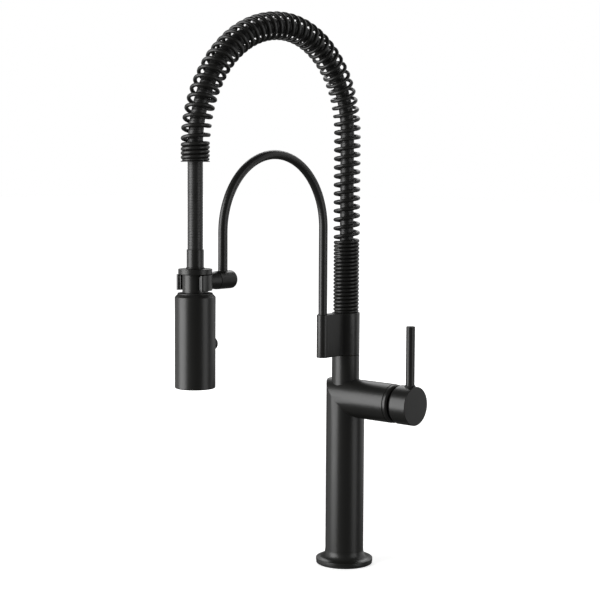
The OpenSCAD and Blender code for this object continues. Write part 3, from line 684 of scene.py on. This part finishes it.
def makeArm(postY):
    radius = armHigh.x
    bowR = (armHigh.y - armLow.y) / 2 - radius
    frontY = armLow.y + radius
    bowZ = armHigh.z - radius - bowR
    socketZ = collarLow.z + 7.4 * mm
    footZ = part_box("dock_cap")[0].z + 3 * mm
    path = [Vector((0, postY, socketZ)), Vector((0, postY, bowZ - 1 * mm))]
    for k in range(arm["bowSteps"] + 1):
        a = math.pi * k / arm["bowSteps"]
        path.append(Vector((0, (postY + frontY) / 2 + bowR * math.cos(a), bowZ + bowR * math.sin(a))))
    path += [Vector((0, frontY, bowZ - 1 * mm)), Vector((0, frontY, footZ))]
    tube = swept("dockingArm", "matte_black_metal", path, radius)
    top = collarHigh.z / mm
    ring = turned("socketRing", "matte_black_metal", [
        (radius / mm, top), (radius / mm + arm["socketRing"], top, 0.2),
        (radius / mm + arm["socketRing"], top + 0.6, 0.25), (radius / mm, top + 0.6)],
        centre=(0, postY, 0), segments=64, steps=4)
    fit(tube, "spout", "matte_black_metal", "docking_arm")
    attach(ring, "spout")
    return frontY


postY = makeCollar()
frontY = makeArm(postY)
print("collar and arm made")

arch = {
    "rearR": 103.0,  # radius of the arch's rear quarter
    "arcSteps": 120,  # points on each quarter
    "bendStart": 540.0,  # height where the drop starts to follow the wand
    "bendEnd": 345.0,
}

coil = {
    "wireR": 1.88,
    "closeR": 13.4,
    "openR": 13.9,
    "closeTurns": 19.0,
    "closePitch": 3.86,
    "openPitch": 9.0,
    "endTurns": 4.0,
    "endPitch": 3.82,
    "tipScale": 0.1,  # both ends are ground flat: the wire thins to this over one turn
    "stepsPerTurn": 36,
    "wireSides": 14,
}

hose = {
    "ribPitch": 2.6,
    "ribDepth": 0.16,
    "ribValley": 6.0,  # a higher number makes a narrower valley
    "stepsPerRib": 12,
    "sides": 44,
}


# The arch's centre line as a chain of edges, from one height on the column's axis to one on the wand's
def archRoute(name, startZ, endZ):
    rearR = arch["rearR"] * mm
    frontR = -wandY - rearR
    topZ = archHigh.z - hoseR
    points = [Vector((0, 0, startZ))]
    for k in range(arch["arcSteps"] + 1):
        a = math.pi / 2 * k / arch["arcSteps"]
        points.append(Vector((0, rearR * (math.cos(a) - 1), topZ - rearR + rearR * math.sin(a))))
    for k in range(1, arch["arcSteps"] + 1):
        a = math.pi / 2 * k / arch["arcSteps"]
        points.append(Vector((0, -rearR - frontR * math.sin(a), topZ - frontR + frontR * math.cos(a))))
    points.append(Vector((0, wandY, endZ)))
    mesh = bpy.data.meshes.new(name)
    mesh.from_pydata(points, [(i, i + 1) for i in range(len(points) - 1)], [])
    made = bpy.data.objects.new(name, mesh)
    bpy.context.scene.collection.objects.link(made)
    toApex = topZ - rearR - startZ + rearR * math.pi / 2
    return made, toApex


# A tree with named inputs, given as name: (socket type, value)
def startTree(name, sizes):
    tree = bpy.data.node_groups.new(name, "GeometryNodeTree")
    tree.interface.new_socket("Geometry", in_out="OUTPUT", socket_type="NodeSocketGeometry")
    tree.interface.new_socket("Geometry", in_out="INPUT", socket_type="NodeSocketGeometry")
    for label, (kind, value) in sizes.items():
        socket = tree.interface.new_socket(label, in_out="INPUT", socket_type=kind)
        if value is not None:
            socket.default_value = value
    given = addNode(tree, "NodeGroupInput").outputs
    return tree, given


# Ends a tree in plain geometry with its material
def endTree(tree, geometry, material):
    smooth = addNode(tree, "GeometryNodeSetShadeSmooth", {"Geometry": geometry})
    plain = addNode(tree, "GeometryNodeRealizeInstances", {"Geometry": smooth.outputs[0]})
    coated = addNode(tree, "GeometryNodeSetMaterial", {"Geometry": plain.outputs[0], "Material": material})
    addNode(tree, "NodeGroupOutput", {"Geometry": coated.outputs[0]})


# Runs a tree on an object with the given inputs, and keeps the result as a plain mesh
def runTree(piece, tree, values, corner=180):
    modifier = piece.modifiers.new(tree.name, "NODES")
    modifier.node_group = tree
    for item in tree.interface.items_tree:
        if item.in_out == "INPUT" and item.name in values:
            modifier[item.identifier] = values[item.name]
    applyModifiers(piece, corner)
    return piece


# A wire wound round a route: close turns at its foot, open turns, close turns at its end, and two ground ends
def coilTree():
    tree, given = startTree("coilAlongRoute", {
        "Wire Radius": ("NodeSocketFloat", 0.0018), "Close Radius": ("NodeSocketFloat", 0.013),
        "Open Radius": ("NodeSocketFloat", 0.014), "Close Turns": ("NodeSocketFloat", 19.0),
        "Close Pitch": ("NodeSocketFloat", 0.004), "Open Pitch": ("NodeSocketFloat", 0.009),
        "End Turns": ("NodeSocketFloat", 4.0), "End Pitch": ("NodeSocketFloat", 0.004),
        "First Turn": ("NodeSocketFloat", 0.0), "Last Turn": ("NodeSocketFloat", 10.0),
        "Open End": ("NodeSocketFloat", 60.0), "Tip Scale": ("NodeSocketFloat", 0.1),
        "Steps per Turn": ("NodeSocketInt", 36), "Wire Sides": ("NodeSocketInt", 12),
        "Material": ("NodeSocketMaterial", None)})
    span = addNode(tree, "ShaderNodeMath", {
        0: given["Last Turn"], 1: given["First Turn"]}, operation="SUBTRACT")
    count = addNode(tree, "ShaderNodeMath", {
        0: addNode(tree, "ShaderNodeMath", {
            0: addNode(tree, "ShaderNodeMath", {0: span, 1: given["Steps per Turn"]}, operation="MULTIPLY")},
            operation="CEIL"),
        1: 1.0}, operation="ADD")
    line = addNode(tree, "GeometryNodeCurvePrimitiveLine")
    beads = addNode(tree, "GeometryNodeResampleCurve", {"Curve": line.outputs[0], "Count": count})
    along = addNode(tree, "GeometryNodeSplineParameter").outputs["Factor"]
    counted = addNode(tree, "GeometryNodeStoreNamedAttribute", {
        "Geometry": beads.outputs[0], "Name": "turn",
        "Value": addNode(tree, "ShaderNodeMath", {
            0: given["First Turn"],
            1: addNode(tree, "ShaderNodeMath", {0: along, 1: span}, operation="MULTIPLY")}, operation="ADD")},
            data_type="FLOAT")
    turn = addNode(tree, "GeometryNodeInputNamedAttribute", {"Name": "turn"}, data_type="FLOAT").outputs[0]
    # Distance along the route after that many turns
    grown = addNode(tree, "ShaderNodeMath", {
        0: given["Wire Radius"],
        1: addNode(tree, "ShaderNodeMath", {0: 1.0, 1: given["Tip Scale"]}, operation="SUBTRACT")},
        operation="MULTIPLY")
    openStart = addNode(tree, "ShaderNodeMath", {0: given["Close Turns"], 1: 1.0}, operation="ADD")
    openTurns = addNode(tree, "ShaderNodeMath", {0: given["Open End"], 1: openStart}, operation="SUBTRACT")
    endStart = addNode(tree, "ShaderNodeMath", {0: given["Open End"], 1: given["End Turns"]}, operation="ADD")
    tips = addNode(tree, "ShaderNodeMath", {
        0: addNode(tree, "ShaderNodeClamp", {"Value": turn, "Min": 0.0, "Max": 1.0}),
        1: addNode(tree, "ShaderNodeClamp", {
            "Value": addNode(tree, "ShaderNodeMath", {0: turn, 1: endStart}, operation="SUBTRACT"),
            "Min": 0.0, "Max": 1.0})}, operation="ADD")
    tipRun = addNode(tree, "ShaderNodeMath", {
        0: addNode(tree, "ShaderNodeMath", {
            0: given["Wire Radius"], 1: given["Tip Scale"]}, operation="MULTIPLY"),
        1: addNode(tree, "ShaderNodeMath", {0: tips, 1: grown}, operation="MULTIPLY")}, operation="ADD")
    closeRun = addNode(tree, "ShaderNodeMath", {
        0: addNode(tree, "ShaderNodeClamp", {
            "Value": addNode(tree, "ShaderNodeMath", {0: turn, 1: 1.0}, operation="SUBTRACT"), "Min": 0.0,
            "Max": given["Close Turns"]}),
        1: given["Close Pitch"]}, operation="MULTIPLY")
    openRun = addNode(tree, "ShaderNodeMath", {
        0: addNode(tree, "ShaderNodeClamp", {
            "Value": addNode(tree, "ShaderNodeMath", {0: turn, 1: openStart}, operation="SUBTRACT"),
            "Min": 0.0, "Max": openTurns}),
        1: given["Open Pitch"]}, operation="MULTIPLY")
    endRun = addNode(tree, "ShaderNodeMath", {
        0: addNode(tree, "ShaderNodeClamp", {
            "Value": addNode(tree, "ShaderNodeMath", {0: turn, 1: given["Open End"]}, operation="SUBTRACT"),
            "Min": 0.0, "Max": given["End Turns"]}),
        1: given["End Pitch"]}, operation="MULTIPLY")
    run = addNode(tree, "ShaderNodeMath", {
        0: addNode(tree, "ShaderNodeMath", {0: tipRun, 1: closeRun}, operation="ADD"),
        1: addNode(tree, "ShaderNodeMath", {0: openRun, 1: endRun}, operation="ADD")}, operation="ADD")
    # The coil's radius swells over one turn where it opens
    fade = addNode(tree, "ShaderNodeMath", {
        0: addNode(tree, "ShaderNodeMath", {0: turn, 1: openStart}, operation="SUBTRACT"),
        1: addNode(tree, "ShaderNodeMath", {0: given["Open End"], 1: turn}, operation="SUBTRACT")},
        operation="MINIMUM")
    swell = addNode(tree, "ShaderNodeMath", {
        0: addNode(tree, "ShaderNodeClamp", {"Value": fade, "Min": 0.0, "Max": 1.0}),
        1: addNode(tree, "ShaderNodeMath", {
            0: given["Open Radius"], 1: given["Close Radius"]}, operation="SUBTRACT")}, operation="MULTIPLY")
    radius = addNode(tree, "ShaderNodeMath", {
        0: addNode(tree, "ShaderNodeMath", {
            0: given["Close Radius"], 1: given["Wire Radius"]}, operation="SUBTRACT"),
        1: swell}, operation="ADD")
    route = addNode(tree, "GeometryNodeMeshToCurve", {"Mesh": given["Geometry"]})
    spot = addNode(tree, "GeometryNodeSampleCurve", {"Curves": route.outputs[0], "Length": run},
        mode="LENGTH")
    outward = addNode(tree, "ShaderNodeVectorMath", {
        0: spot.outputs["Tangent"], 1: (1, 0, 0)}, operation="CROSS_PRODUCT")
    angle = addNode(tree, "ShaderNodeMath", {0: turn, 1: 2 * math.pi}, operation="MULTIPLY")
    high = addNode(tree, "ShaderNodeVectorMath", {
        0: outward,
        "Scale": addNode(tree, "ShaderNodeMath", {
            0: radius,
            1: addNode(tree, "ShaderNodeMath", {0: angle}, operation="COSINE")}, operation="MULTIPLY")},
            operation="SCALE").outputs[0]
    side = addNode(tree, "ShaderNodeMath", {
        0: addNode(tree, "ShaderNodeMath", {
            0: radius,
            1: addNode(tree, "ShaderNodeMath", {0: angle}, operation="SINE")}, operation="MULTIPLY"),
        1: -1.0}, operation="MULTIPLY")
    aside = addNode(tree, "ShaderNodeCombineXYZ", {"X": side}).outputs[0]
    place = addNode(tree, "ShaderNodeVectorMath", {
        0: addNode(tree, "ShaderNodeVectorMath", {0: spot.outputs["Position"], 1: high}, operation="ADD"),
        1: aside}, operation="ADD")
    helix = addNode(tree, "GeometryNodeSetPosition", {"Geometry": counted.outputs[0], "Position": place})
    section = addNode(tree, "GeometryNodeCurvePrimitiveCircle", {
        "Resolution": given["Wire Sides"], "Radius": given["Wire Radius"]})
    # Ground ends: the wire thins over its first and last turn
    fromTip = addNode(tree, "ShaderNodeMath", {
        0: turn,
        1: addNode(tree, "ShaderNodeMath", {
            0: addNode(tree, "ShaderNodeMath", {0: endStart, 1: 1.0}, operation="ADD"),
            1: turn}, operation="SUBTRACT")}, operation="MINIMUM")
    thin = addNode(tree, "ShaderNodeMath", {
        0: given["Tip Scale"],
        1: addNode(tree, "ShaderNodeMath", {
            0: addNode(tree, "ShaderNodeClamp", {"Value": fromTip, "Min": 0.0, "Max": 1.0}),
            1: addNode(tree, "ShaderNodeMath", {0: 1.0, 1: given["Tip Scale"]}, operation="SUBTRACT")},
            operation="MULTIPLY")}, operation="ADD")
    wire = addNode(tree, "GeometryNodeCurveToMesh", {
        "Curve": helix.outputs[0], "Profile Curve": section.outputs[0], "Scale": thin, "Fill Caps": True})
    endTree(tree, wire.outputs[0], given["Material"])
    return tree


def makeSpring():
    startZ = collarHigh.z + 0.05 * mm
    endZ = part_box("spring_end_ring")[1].z + 0.02 * mm
    route, toApex = archRoute("springRear", startZ, endZ)
    frontR = -wandY - arch["rearR"] * mm
    whole = toApex + frontR * math.pi / 2 + (archHigh.z - hoseR - frontR - endZ)
    closeRun = coil["closeTurns"] * coil["closePitch"] * mm
    endRun = coil["endTurns"] * coil["endPitch"] * mm
    openPitch = coil["openPitch"] * mm
    tipRun = coil["wireR"] * mm
    openEnd = 1 + coil["closeTurns"] + (whole - 2 * tipRun - closeRun - endRun) / openPitch
    apexTurn = 1 + coil["closeTurns"] + (toApex - tipRun - closeRun) / openPitch
    sizes = {
        "Wire Radius": coil["wireR"] * mm, "Close Radius": coil["closeR"] * mm,
        "Open Radius": coil["openR"] * mm,
        "Close Turns": coil["closeTurns"], "Close Pitch": coil["closePitch"] * mm, "Open Pitch": openPitch,
        "End Turns": coil["endTurns"], "End Pitch": coil["endPitch"] * mm, "Open End": openEnd,
        "Tip Scale": coil["tipScale"],
        "Steps per Turn": coil["stepsPerTurn"], "Wire Sides": coil["wireSides"],
        "Material": finishes["matte_black_spring"]}
    tree = coilTree()
    rear = runTree(route, tree, {**sizes, "First Turn": 0.0, "Last Turn": apexTurn})
    fit(rear, "spout", "matte_black_spring", "spring")
    front, toApex = archRoute("springFront", startZ, endZ)
    runTree(front, tree, {**sizes, "First Turn": apexTurn, "Last Turn": openEnd + coil["endTurns"] + 1})
    followWand(front, "matte_black_spring", "spring")
    ringLow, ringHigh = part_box("spring_end_ring")
    ring = turned("springEndRing", "matte_black_spring", [
        (hoseR / mm + 0.1, ringLow.z / mm), (ringHigh.x / mm, ringLow.z / mm, 0.3),
        (ringHigh.x / mm, ringHigh.z / mm, 0.3), (hoseR / mm + 0.1, ringHigh.z / mm)],
        centre=(0, wandY, 0), segments=96, steps=4)
    followWand(ring, "matte_black_spring", "spring_end_ring")


# Bakes the drop between the arch and the wand where it stands, in place of the nodes that it stands for
def followWand(piece, slotName, *nodes):
    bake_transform(piece)
    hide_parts(*nodes)


# A hose cover with flat ribs and narrow grooves, along a stretch of a route
def hoseTree():
    tree, given = startTree("ribbedHose", {
        "Radius": ("NodeSocketFloat", 0.007), "Rib Pitch": ("NodeSocketFloat", 0.003),
        "Rib Depth": ("NodeSocketFloat", 0.0002), "Rib Valley": ("NodeSocketFloat", 4.0),
        "Steps per Rib": ("NodeSocketInt", 12),
        "Start Length": ("NodeSocketFloat", 0.0), "End Length": ("NodeSocketFloat", 1.0),
        "Sides": ("NodeSocketInt", 40), "Material": ("NodeSocketMaterial", None)})
    route = addNode(tree, "GeometryNodeMeshToCurve", {"Mesh": given["Geometry"]})
    stretch = addNode(tree, "GeometryNodeTrimCurve", {"Curve": route.outputs[0]}, mode="LENGTH")
    tree.links.new(given["Start Length"], stretch.inputs[4])
    tree.links.new(given["End Length"], stretch.inputs[5])
    step = addNode(tree, "ShaderNodeMath", {
        0: given["Rib Pitch"], 1: given["Steps per Rib"]}, operation="DIVIDE")
    beads = addNode(tree, "GeometryNodeResampleCurve", {"Curve": stretch.outputs[0], "Length": step},
        mode="LENGTH")
    along = addNode(tree, "GeometryNodeSplineParameter").outputs["Length"]
    wave = addNode(tree, "ShaderNodeMath", {
        0: addNode(tree, "ShaderNodeMath", {
            0: addNode(tree, "ShaderNodeMath", {0: along, 1: given["Rib Pitch"]}, operation="DIVIDE"),
            1: 2 * math.pi}, operation="MULTIPLY")}, operation="COSINE")
    # Raising the wave to a power makes flat ribs with narrow valleys
    valley = addNode(tree, "ShaderNodeMath", {
        0: addNode(tree, "ShaderNodeMath", {
            0: addNode(tree, "ShaderNodeMath", {0: wave, 1: 1.0}, operation="ADD"),
            1: 0.5}, operation="MULTIPLY"),
        1: given["Rib Valley"]}, operation="POWER")
    size = addNode(tree, "ShaderNodeMath", {
        0: 1.0,
        1: addNode(tree, "ShaderNodeMath", {
            0: valley,
            1: addNode(tree, "ShaderNodeMath", {
                0: given["Rib Depth"], 1: given["Radius"]}, operation="DIVIDE")}, operation="MULTIPLY")},
                operation="SUBTRACT")
    section = addNode(tree, "GeometryNodeCurvePrimitiveCircle", {
        "Resolution": given["Sides"], "Radius": given["Radius"]})
    cover = addNode(tree, "GeometryNodeCurveToMesh", {
        "Curve": beads.outputs[0], "Profile Curve": section.outputs[0], "Scale": size, "Fill Caps": True})
    endTree(tree, cover.outputs[0], given["Material"])
    return tree


def makeHose():
    startZ = archLow.z
    endZ = hoseLow.z
    tree = hoseTree()
    rear, toApex = archRoute("hoseRear", startZ, endZ)
    frontR = -wandY - arch["rearR"] * mm
    whole = toApex + frontR * math.pi / 2 + (archHigh.z - hoseR - frontR - endZ)
    sizes = {
        "Radius": hoseR, "Rib Pitch": hose["ribPitch"] * mm, "Rib Depth": hose["ribDepth"] * mm,
        "Rib Valley": hose["ribValley"], "Steps per Rib": hose["stepsPerRib"], "Sides": hose["sides"],
        "Material": finishes["hose_rubber"]}
    runTree(rear, tree, {**sizes, "Start Length": 0.0, "End Length": toApex})
    fit(rear, "spout", "hose_rubber", "arch_hose")
    front, toApex = archRoute("hoseFront", startZ, endZ)
    runTree(front, tree, {**sizes, "Start Length": toApex, "End Length": whole})
    followWand(front, "hose_rubber", "arch_hose", "exposed_hose")


makeSpring()
makeHose()
print("spring and hose wound")

dock = {
    "capRound": 2.8,
    "stubTipR": 6.8,
    "clipInner": 13.3,
    "clipOuter": 15.8,
    "flare": 1.3,
    "prong": 8.0,
    "clipRim": 0.35,
}


def clipOutline():
    inner, outer = dock["clipInner"], dock["clipOuter"]
    tip = -dock["prong"]
    flare = dock["flare"]
    right = [(inner, tip + 3.2, 3.0), (inner + flare * 0.8, tip, 0.8), (outer + flare, tip, 1.0),
             (outer + flare * 0.8, tip + 2.0, 1.0), (outer, tip + 4.0, 3.0)]
    rim = rounded(right, closed=False, steps=5, support=9)
    outline = [(inner, 0)] + [tuple(p) for p in rim] + [(outer, 0)]
    for k in range(1, 48):
        a = math.pi * k / 48
        outline.append((outer * math.cos(a), outer * math.sin(a)))
    outline += [(-outer, 0)] + [(-x, y) for x, y in reversed([tuple(p) for p in rim])] + [(-inner, 0)]
    for k in range(1, 48):
        a = math.pi - math.pi * k / 48
        outline.append((inner * math.cos(a), inner * math.sin(a)))
    return outline


def makeDock():
    capLow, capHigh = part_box("dock_cap")
    dockZ = (capLow.z + capHigh.z) / 2
    size = capHigh.x / mm
    seam, end = capLow.y / mm, capHigh.y / mm
    cap = turned("dockCap", "matte_black_metal", [
        (0, seam), (size - 0.3, seam), (size, seam + 0.3), (size, end, dock["capRound"]), (4.3, end, 0.3),
        (4.3, end - 4), (0, end - 4)], "Y", (0, 0, dockZ), segments=128)
    armR = armHigh.x / mm
    top = capHigh.z / mm
    skirt = turned("armSaddle", "matte_black_metal", [
        (0, top - 4), (armR + 2.6, top - 4), (armR + 2.6, top - 1.4), (armR + 0.02, top - 1.4, 2.0),
        (armR + 0.02, top + 1.4), (0, top + 1.4)], centre=(0, frontY, 0), segments=96)
    carve(cap, [skirt], "UNION")
    fit(cap, "spout", "matte_black_metal", "dock_cap")

    linerLow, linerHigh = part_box("clip_liner")
    low, high = linerLow.z / mm - 1.2, linerHigh.z / mm + 1.2
    clip = extruded("dockClip", "matte_black_metal", clipOutline(), low, high, dock["clipRim"], (0, wandY, 0))
    stub = turned("stub", "matte_black_metal", [
        (0, wandY / mm + dock["clipInner"] + 1.2), (dock["stubTipR"], wandY / mm + dock["clipInner"] + 1.2),
        (size - 0.1, seam - 0.5, 0.3), (size - 0.6, seam - 0.1), (0, seam - 0.1)], "Y", (0, 0, dockZ))
    carve(clip, [stub], "UNION")
    fit(clip, "spout", "matte_black_metal", "dock_clip")


makeDock()
print("dock made")

wand = {
    "shoulder": 2.6,
    "edge": 0.9,
    "wall": 2.5,
    "gripR": 11.9,
    "seatR": 10.9,
    "discDeep": 5,
    "discEdge": 0.6,
    "ferruleR": 7.9,
    "ferruleFlare": 0.7,
    "buttonEdge": 0.9,
}


def makeWand():
    centre = (0, wandY, 0)
    seatR = wand["seatR"]
    size = wandHigh.x / mm
    low, high = wandLow.z / mm, wandHigh.z / mm
    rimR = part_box("rim_washer")[1].x / mm
    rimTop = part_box("rim_washer")[1].z / mm
    neckLow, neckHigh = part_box("wand_neck")
    discR = neckHigh.x / mm
    discTop = neckHigh.z / mm
    shell = turned("wandShell", "matte_black_metal", [
        (size - wand["wall"], low), (size, low, wand["edge"]), (size, high - wand["shoulder"], 0.9),
        (rimR + 0.2, high, 0.4), (seatR, high), (seatR, high - 5), (size - wand["wall"], high - 5)],
        centre=centre, segments=192)
    bezelLow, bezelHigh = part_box("button_bezel")
    buttonZ = (bezelLow.z + bezelHigh.z) / 2
    hole = turned("buttonHole", "matte_black_metal", [
        (0, wandY / mm), (bezelHigh.x / mm + 0.02, wandY / mm), (bezelHigh.x / mm + 0.02, wandY / mm + 30),
        (0, wandY / mm + 30)], "Y", (0, 0, buttonZ), segments=64)
    carve(shell, [hole])
    fit(shell, "wand", "matte_black_metal", "wand_shell")
    rim = turned("rimWasher", "black_plastic", [
        (seatR, high), (rimR, high, 0.3), (rimR, rimTop, 0.4), (seatR, rimTop)], centre=centre, segments=128,
        steps=4)
    fit(rim, "wand", "black_plastic", "rim_washer")
    neck = turned("wandNeck", "matte_black_metal", [
        (0, neckLow.z / mm), (seatR, neckLow.z / mm), (seatR, rimTop), (wand["gripR"], rimTop, 0.3),
        (wand["gripR"], discTop - wand["discDeep"], 0.6),
        (discR, discTop - wand["discDeep"], wand["discEdge"]),
        (discR, discTop, wand["discEdge"]),
        (0, discTop)], centre=centre, segments=128)
    fit(neck, "wand", "matte_black_metal", "wand_neck")
    big = wand["ferruleR"]
    flareR = big + wand["ferruleFlare"]
    foot = discTop + 0.15
    top = hoseLow.z / mm
    ferrule = turned("hoseFerrule", "matte_black_metal", [
        (0, foot), (flareR, foot, 0.2), (flareR, foot + 0.7, 0.3), (big, foot + 1.4, 1.0),
        (big, top, 0.6), (0, top)], centre=centre, segments=96)
    fit(ferrule, "hose_end", "matte_black_metal", "hose_ferrule")
    spot = (0, 0, buttonZ)
    inner, outer = bezelLow.y / mm, bezelHigh.y / mm
    bezelR = bezelHigh.x / mm
    buttonLow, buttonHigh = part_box("spray_button")
    buttonR = buttonHigh.x / mm
    bezel = turned("buttonBezel", "black_plastic", [
        (buttonR + 0.3, inner), (bezelR, inner), (bezelR, outer, 0.5), (buttonR + 0.3, outer, 0.2)],
        "Y", spot, segments=96)
    fit(bezel, "wand", "black_plastic", "button_bezel")
    tip = buttonHigh.y / mm
    button = turned("sprayButton", "black_plastic", [
        (0, buttonLow.y / mm), (buttonR, buttonLow.y / mm), (buttonR, tip - 1.3, wand["buttonEdge"]),
        (buttonR * 0.5, tip - 0.3, 4.0), (0, tip)], "Y", spot, segments=96)
    fit(button, "button", "black_plastic", "spray_button")


makeWand()
print("wand made")

thread = {
    "shankR": 16.5,
    "shankBore": 13.5,
    "jackR": 2.5,
    "jackRingR": 20.8,
    "jackHead": 4,
    "shankPitch": 1.5,
    "shankDepth": 0.75,
    "screwPitch": 1.0,
    "screwDepth": 0.45,
    "rowsPerPitch": 6,
}

nozzles = {
    "count": 20,
    "ringR": 13.2,
    "hole": 0.4,
}


# Sets copies of one shape on a circle
def ringTree():
    tree, given = startTree("ringOfCopies", {
        "Centre": ("NodeSocketVector", None), "Ring Radius": ("NodeSocketFloat", 0.013),
        "Count": ("NodeSocketInt", 20), "Material": ("NodeSocketMaterial", None)})
    circle = addNode(tree, "GeometryNodeMeshCircle",
        {"Vertices": given["Count"], "Radius": given["Ring Radius"]})
    moved = addNode(tree, "GeometryNodeTransform", {
        "Geometry": circle.outputs[0], "Translation": given["Centre"]})
    copies = addNode(tree, "GeometryNodeInstanceOnPoints", {
        "Points": moved.outputs[0], "Instance": given["Geometry"]})
    endTree(tree, copies.outputs[0], given["Material"])
    return tree


# Cuts a helical groove into the outside of an upright rod
def threadTree():
    tree, given = startTree("cutThread", {
        "Radius": ("NodeSocketFloat", 0.016),
        "Pitch": ("NodeSocketFloat", 0.0015), "Depth": ("NodeSocketFloat", 0.0008),
        "Low": ("NodeSocketFloat", -0.05), "High": ("NodeSocketFloat", 0.0),
        "Material": ("NodeSocketMaterial", None)})
    place = addNode(tree, "GeometryNodeInputPosition").outputs[0]
    parts = addNode(tree, "ShaderNodeSeparateXYZ", {0: place}).outputs
    flat = addNode(tree, "ShaderNodeCombineXYZ", {"X": parts["X"], "Y": parts["Y"]}).outputs[0]
    distance = addNode(tree, "ShaderNodeVectorMath", {0: flat}, operation="LENGTH").outputs["Value"]
    outside = addNode(tree, "ShaderNodeMath", {
        0: distance,
        1: addNode(tree, "ShaderNodeMath", {0: given["Radius"], 1: 0.00002}, operation="SUBTRACT")},
        operation="GREATER_THAN")
    # The groove fades out over half a pitch at both ends
    edge = addNode(tree, "ShaderNodeMath", {
        0: addNode(tree, "ShaderNodeMath", {0: parts["Z"], 1: given["Low"]}, operation="SUBTRACT"),
        1: addNode(tree, "ShaderNodeMath", {0: given["High"], 1: parts["Z"]}, operation="SUBTRACT")},
        operation="MINIMUM")
    fade = addNode(tree, "ShaderNodeMath", {
        0: addNode(tree, "ShaderNodeMath", {
            0: addNode(tree, "ShaderNodeMath", {
                0: edge,
                1: addNode(tree, "ShaderNodeMath", {0: given["Pitch"], 1: 0.5}, operation="MULTIPLY")},
                operation="DIVIDE"),
            1: 0.0}, operation="MAXIMUM"),
        1: 1.0}, operation="MINIMUM")
    turned = addNode(tree, "ShaderNodeMath", {
        0: addNode(tree, "ShaderNodeMath", {0: parts["Y"], 1: parts["X"]}, operation="ARCTAN2"),
        1: 2 * math.pi}, operation="DIVIDE")
    phase = addNode(tree, "ShaderNodeMath", {
        0: addNode(tree, "ShaderNodeMath", {
            0: addNode(tree, "ShaderNodeMath", {0: parts["Z"], 1: given["Pitch"]}, operation="DIVIDE"),
            1: turned}, operation="SUBTRACT")}, operation="FRACT")
    groove = addNode(tree, "ShaderNodeMath", {
        0: 1.0,
        1: addNode(tree, "ShaderNodeMath", {
            0: addNode(tree, "ShaderNodeMath", {
                0: addNode(tree, "ShaderNodeMath", {0: phase, 1: 2.0}, operation="MULTIPLY"),
                1: 1.0}, operation="SUBTRACT")}, operation="ABSOLUTE")}, operation="SUBTRACT")
    depth = addNode(tree, "ShaderNodeMath", {
        0: addNode(tree, "ShaderNodeMath", {0: groove, 1: fade}, operation="MULTIPLY"),
        1: given["Depth"]}, operation="MULTIPLY")
    inward = addNode(tree, "ShaderNodeVectorMath", {0: flat}, operation="NORMALIZE").outputs[0]
    shift = addNode(tree, "ShaderNodeVectorMath", {
        0: inward,
        "Scale": addNode(tree, "ShaderNodeMath", {0: depth, 1: -1.0}, operation="MULTIPLY")},
        operation="SCALE").outputs[0]
    cut = addNode(tree, "GeometryNodeSetPosition", {
        "Geometry": given["Geometry"], "Selection": outside, "Offset": shift})
    endTree(tree, cut.outputs[0], given["Material"])
    return tree


# A tube or rod whose outside has rows close enough together to take a thread
def threadedRod(name, slotName, radius, bore, low, high, rim, pitch, depth, segments):
    rows = math.ceil((high - low) / pitch * thread["rowsPerPitch"])
    side = [(radius, low + (high - low) * k / rows) for k in range(rows + 1)]
    rod = turned(name, slotName, [(bore, low)] + side + rim, segments=segments, support=9)
    runTree(rod, threadTree(), {
        "Radius": radius * mm, "Pitch": pitch * mm, "Depth": depth * mm, "Low": low * mm, "High": high * mm,
        "Material": finishes[slotName]}, 50)
    return rod


def makeThreads():
    shankLow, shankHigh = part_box("mounting_shank")
    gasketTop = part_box("deck_gasket")[1].z / mm
    top = shankHigh.z / mm
    collarR = shankHigh.x / mm
    bore = thread["shankBore"]
    shank = threadedRod("mountingShank", "brass", thread["shankR"], bore, shankLow.z / mm, gasketTop, [
        (collarR, gasketTop, 0.2), (collarR, top, 0.3), (bore, top)], thread["shankPitch"],
        thread["shankDepth"], 96)
    fit(shank, "body", "brass", "mounting_shank")
    screwLow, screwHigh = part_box("jack_screws")
    neckZ = screwLow.z / mm + thread["jackHead"]
    screws = threadedRod("jackScrews", "steel", thread["jackR"], 0, neckZ, screwHigh.z / mm, [
        (0, screwHigh.z / mm)], thread["screwPitch"], thread["screwDepth"], 40)
    headR = screwHigh.x / mm - thread["jackRingR"]
    head = turned("jackHeads", "steel", [
        (0, screwLow.z / mm), (headR, screwLow.z / mm, 0.4), (headR, neckZ, 0.2), (0, neckZ)], segments=40)
    carve(screws, [head], "UNION")
    runTree(screws, ringTree(), {
        "Centre": (0.0, 0.0, 0.0), "Ring Radius": thread["jackRingR"] * mm, "Count": 3,
        "Material": finishes["steel"]}, 40)
    fit(screws, "body", "steel", "jack_screws")


def makeNozzles():
    low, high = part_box("spray_nozzles")
    foot = low.z / mm
    size = high.x / mm - nozzles["ringR"]
    tall = (high.z - low.z) / mm
    one = turned("sprayNozzles", "nozzle_silicone", [
        (nozzles["hole"], 0), (nozzles["hole"] + 0.2, 0, 0.05), (size, 0.4, 0.15), (size, tall),
        (nozzles["hole"], tall)], segments=28, steps=3)
    runTree(one, ringTree(), {
        "Centre": (0.0, wandY, foot * mm), "Ring Radius": nozzles["ringR"] * mm, "Count": nozzles["count"],
        "Material": finishes["nozzle_silicone"]}, 40)
    fit(one, "wand", "nozzle_silicone", "spray_nozzles")


makeThreads()
makeNozzles()
print("threads and nozzles made")
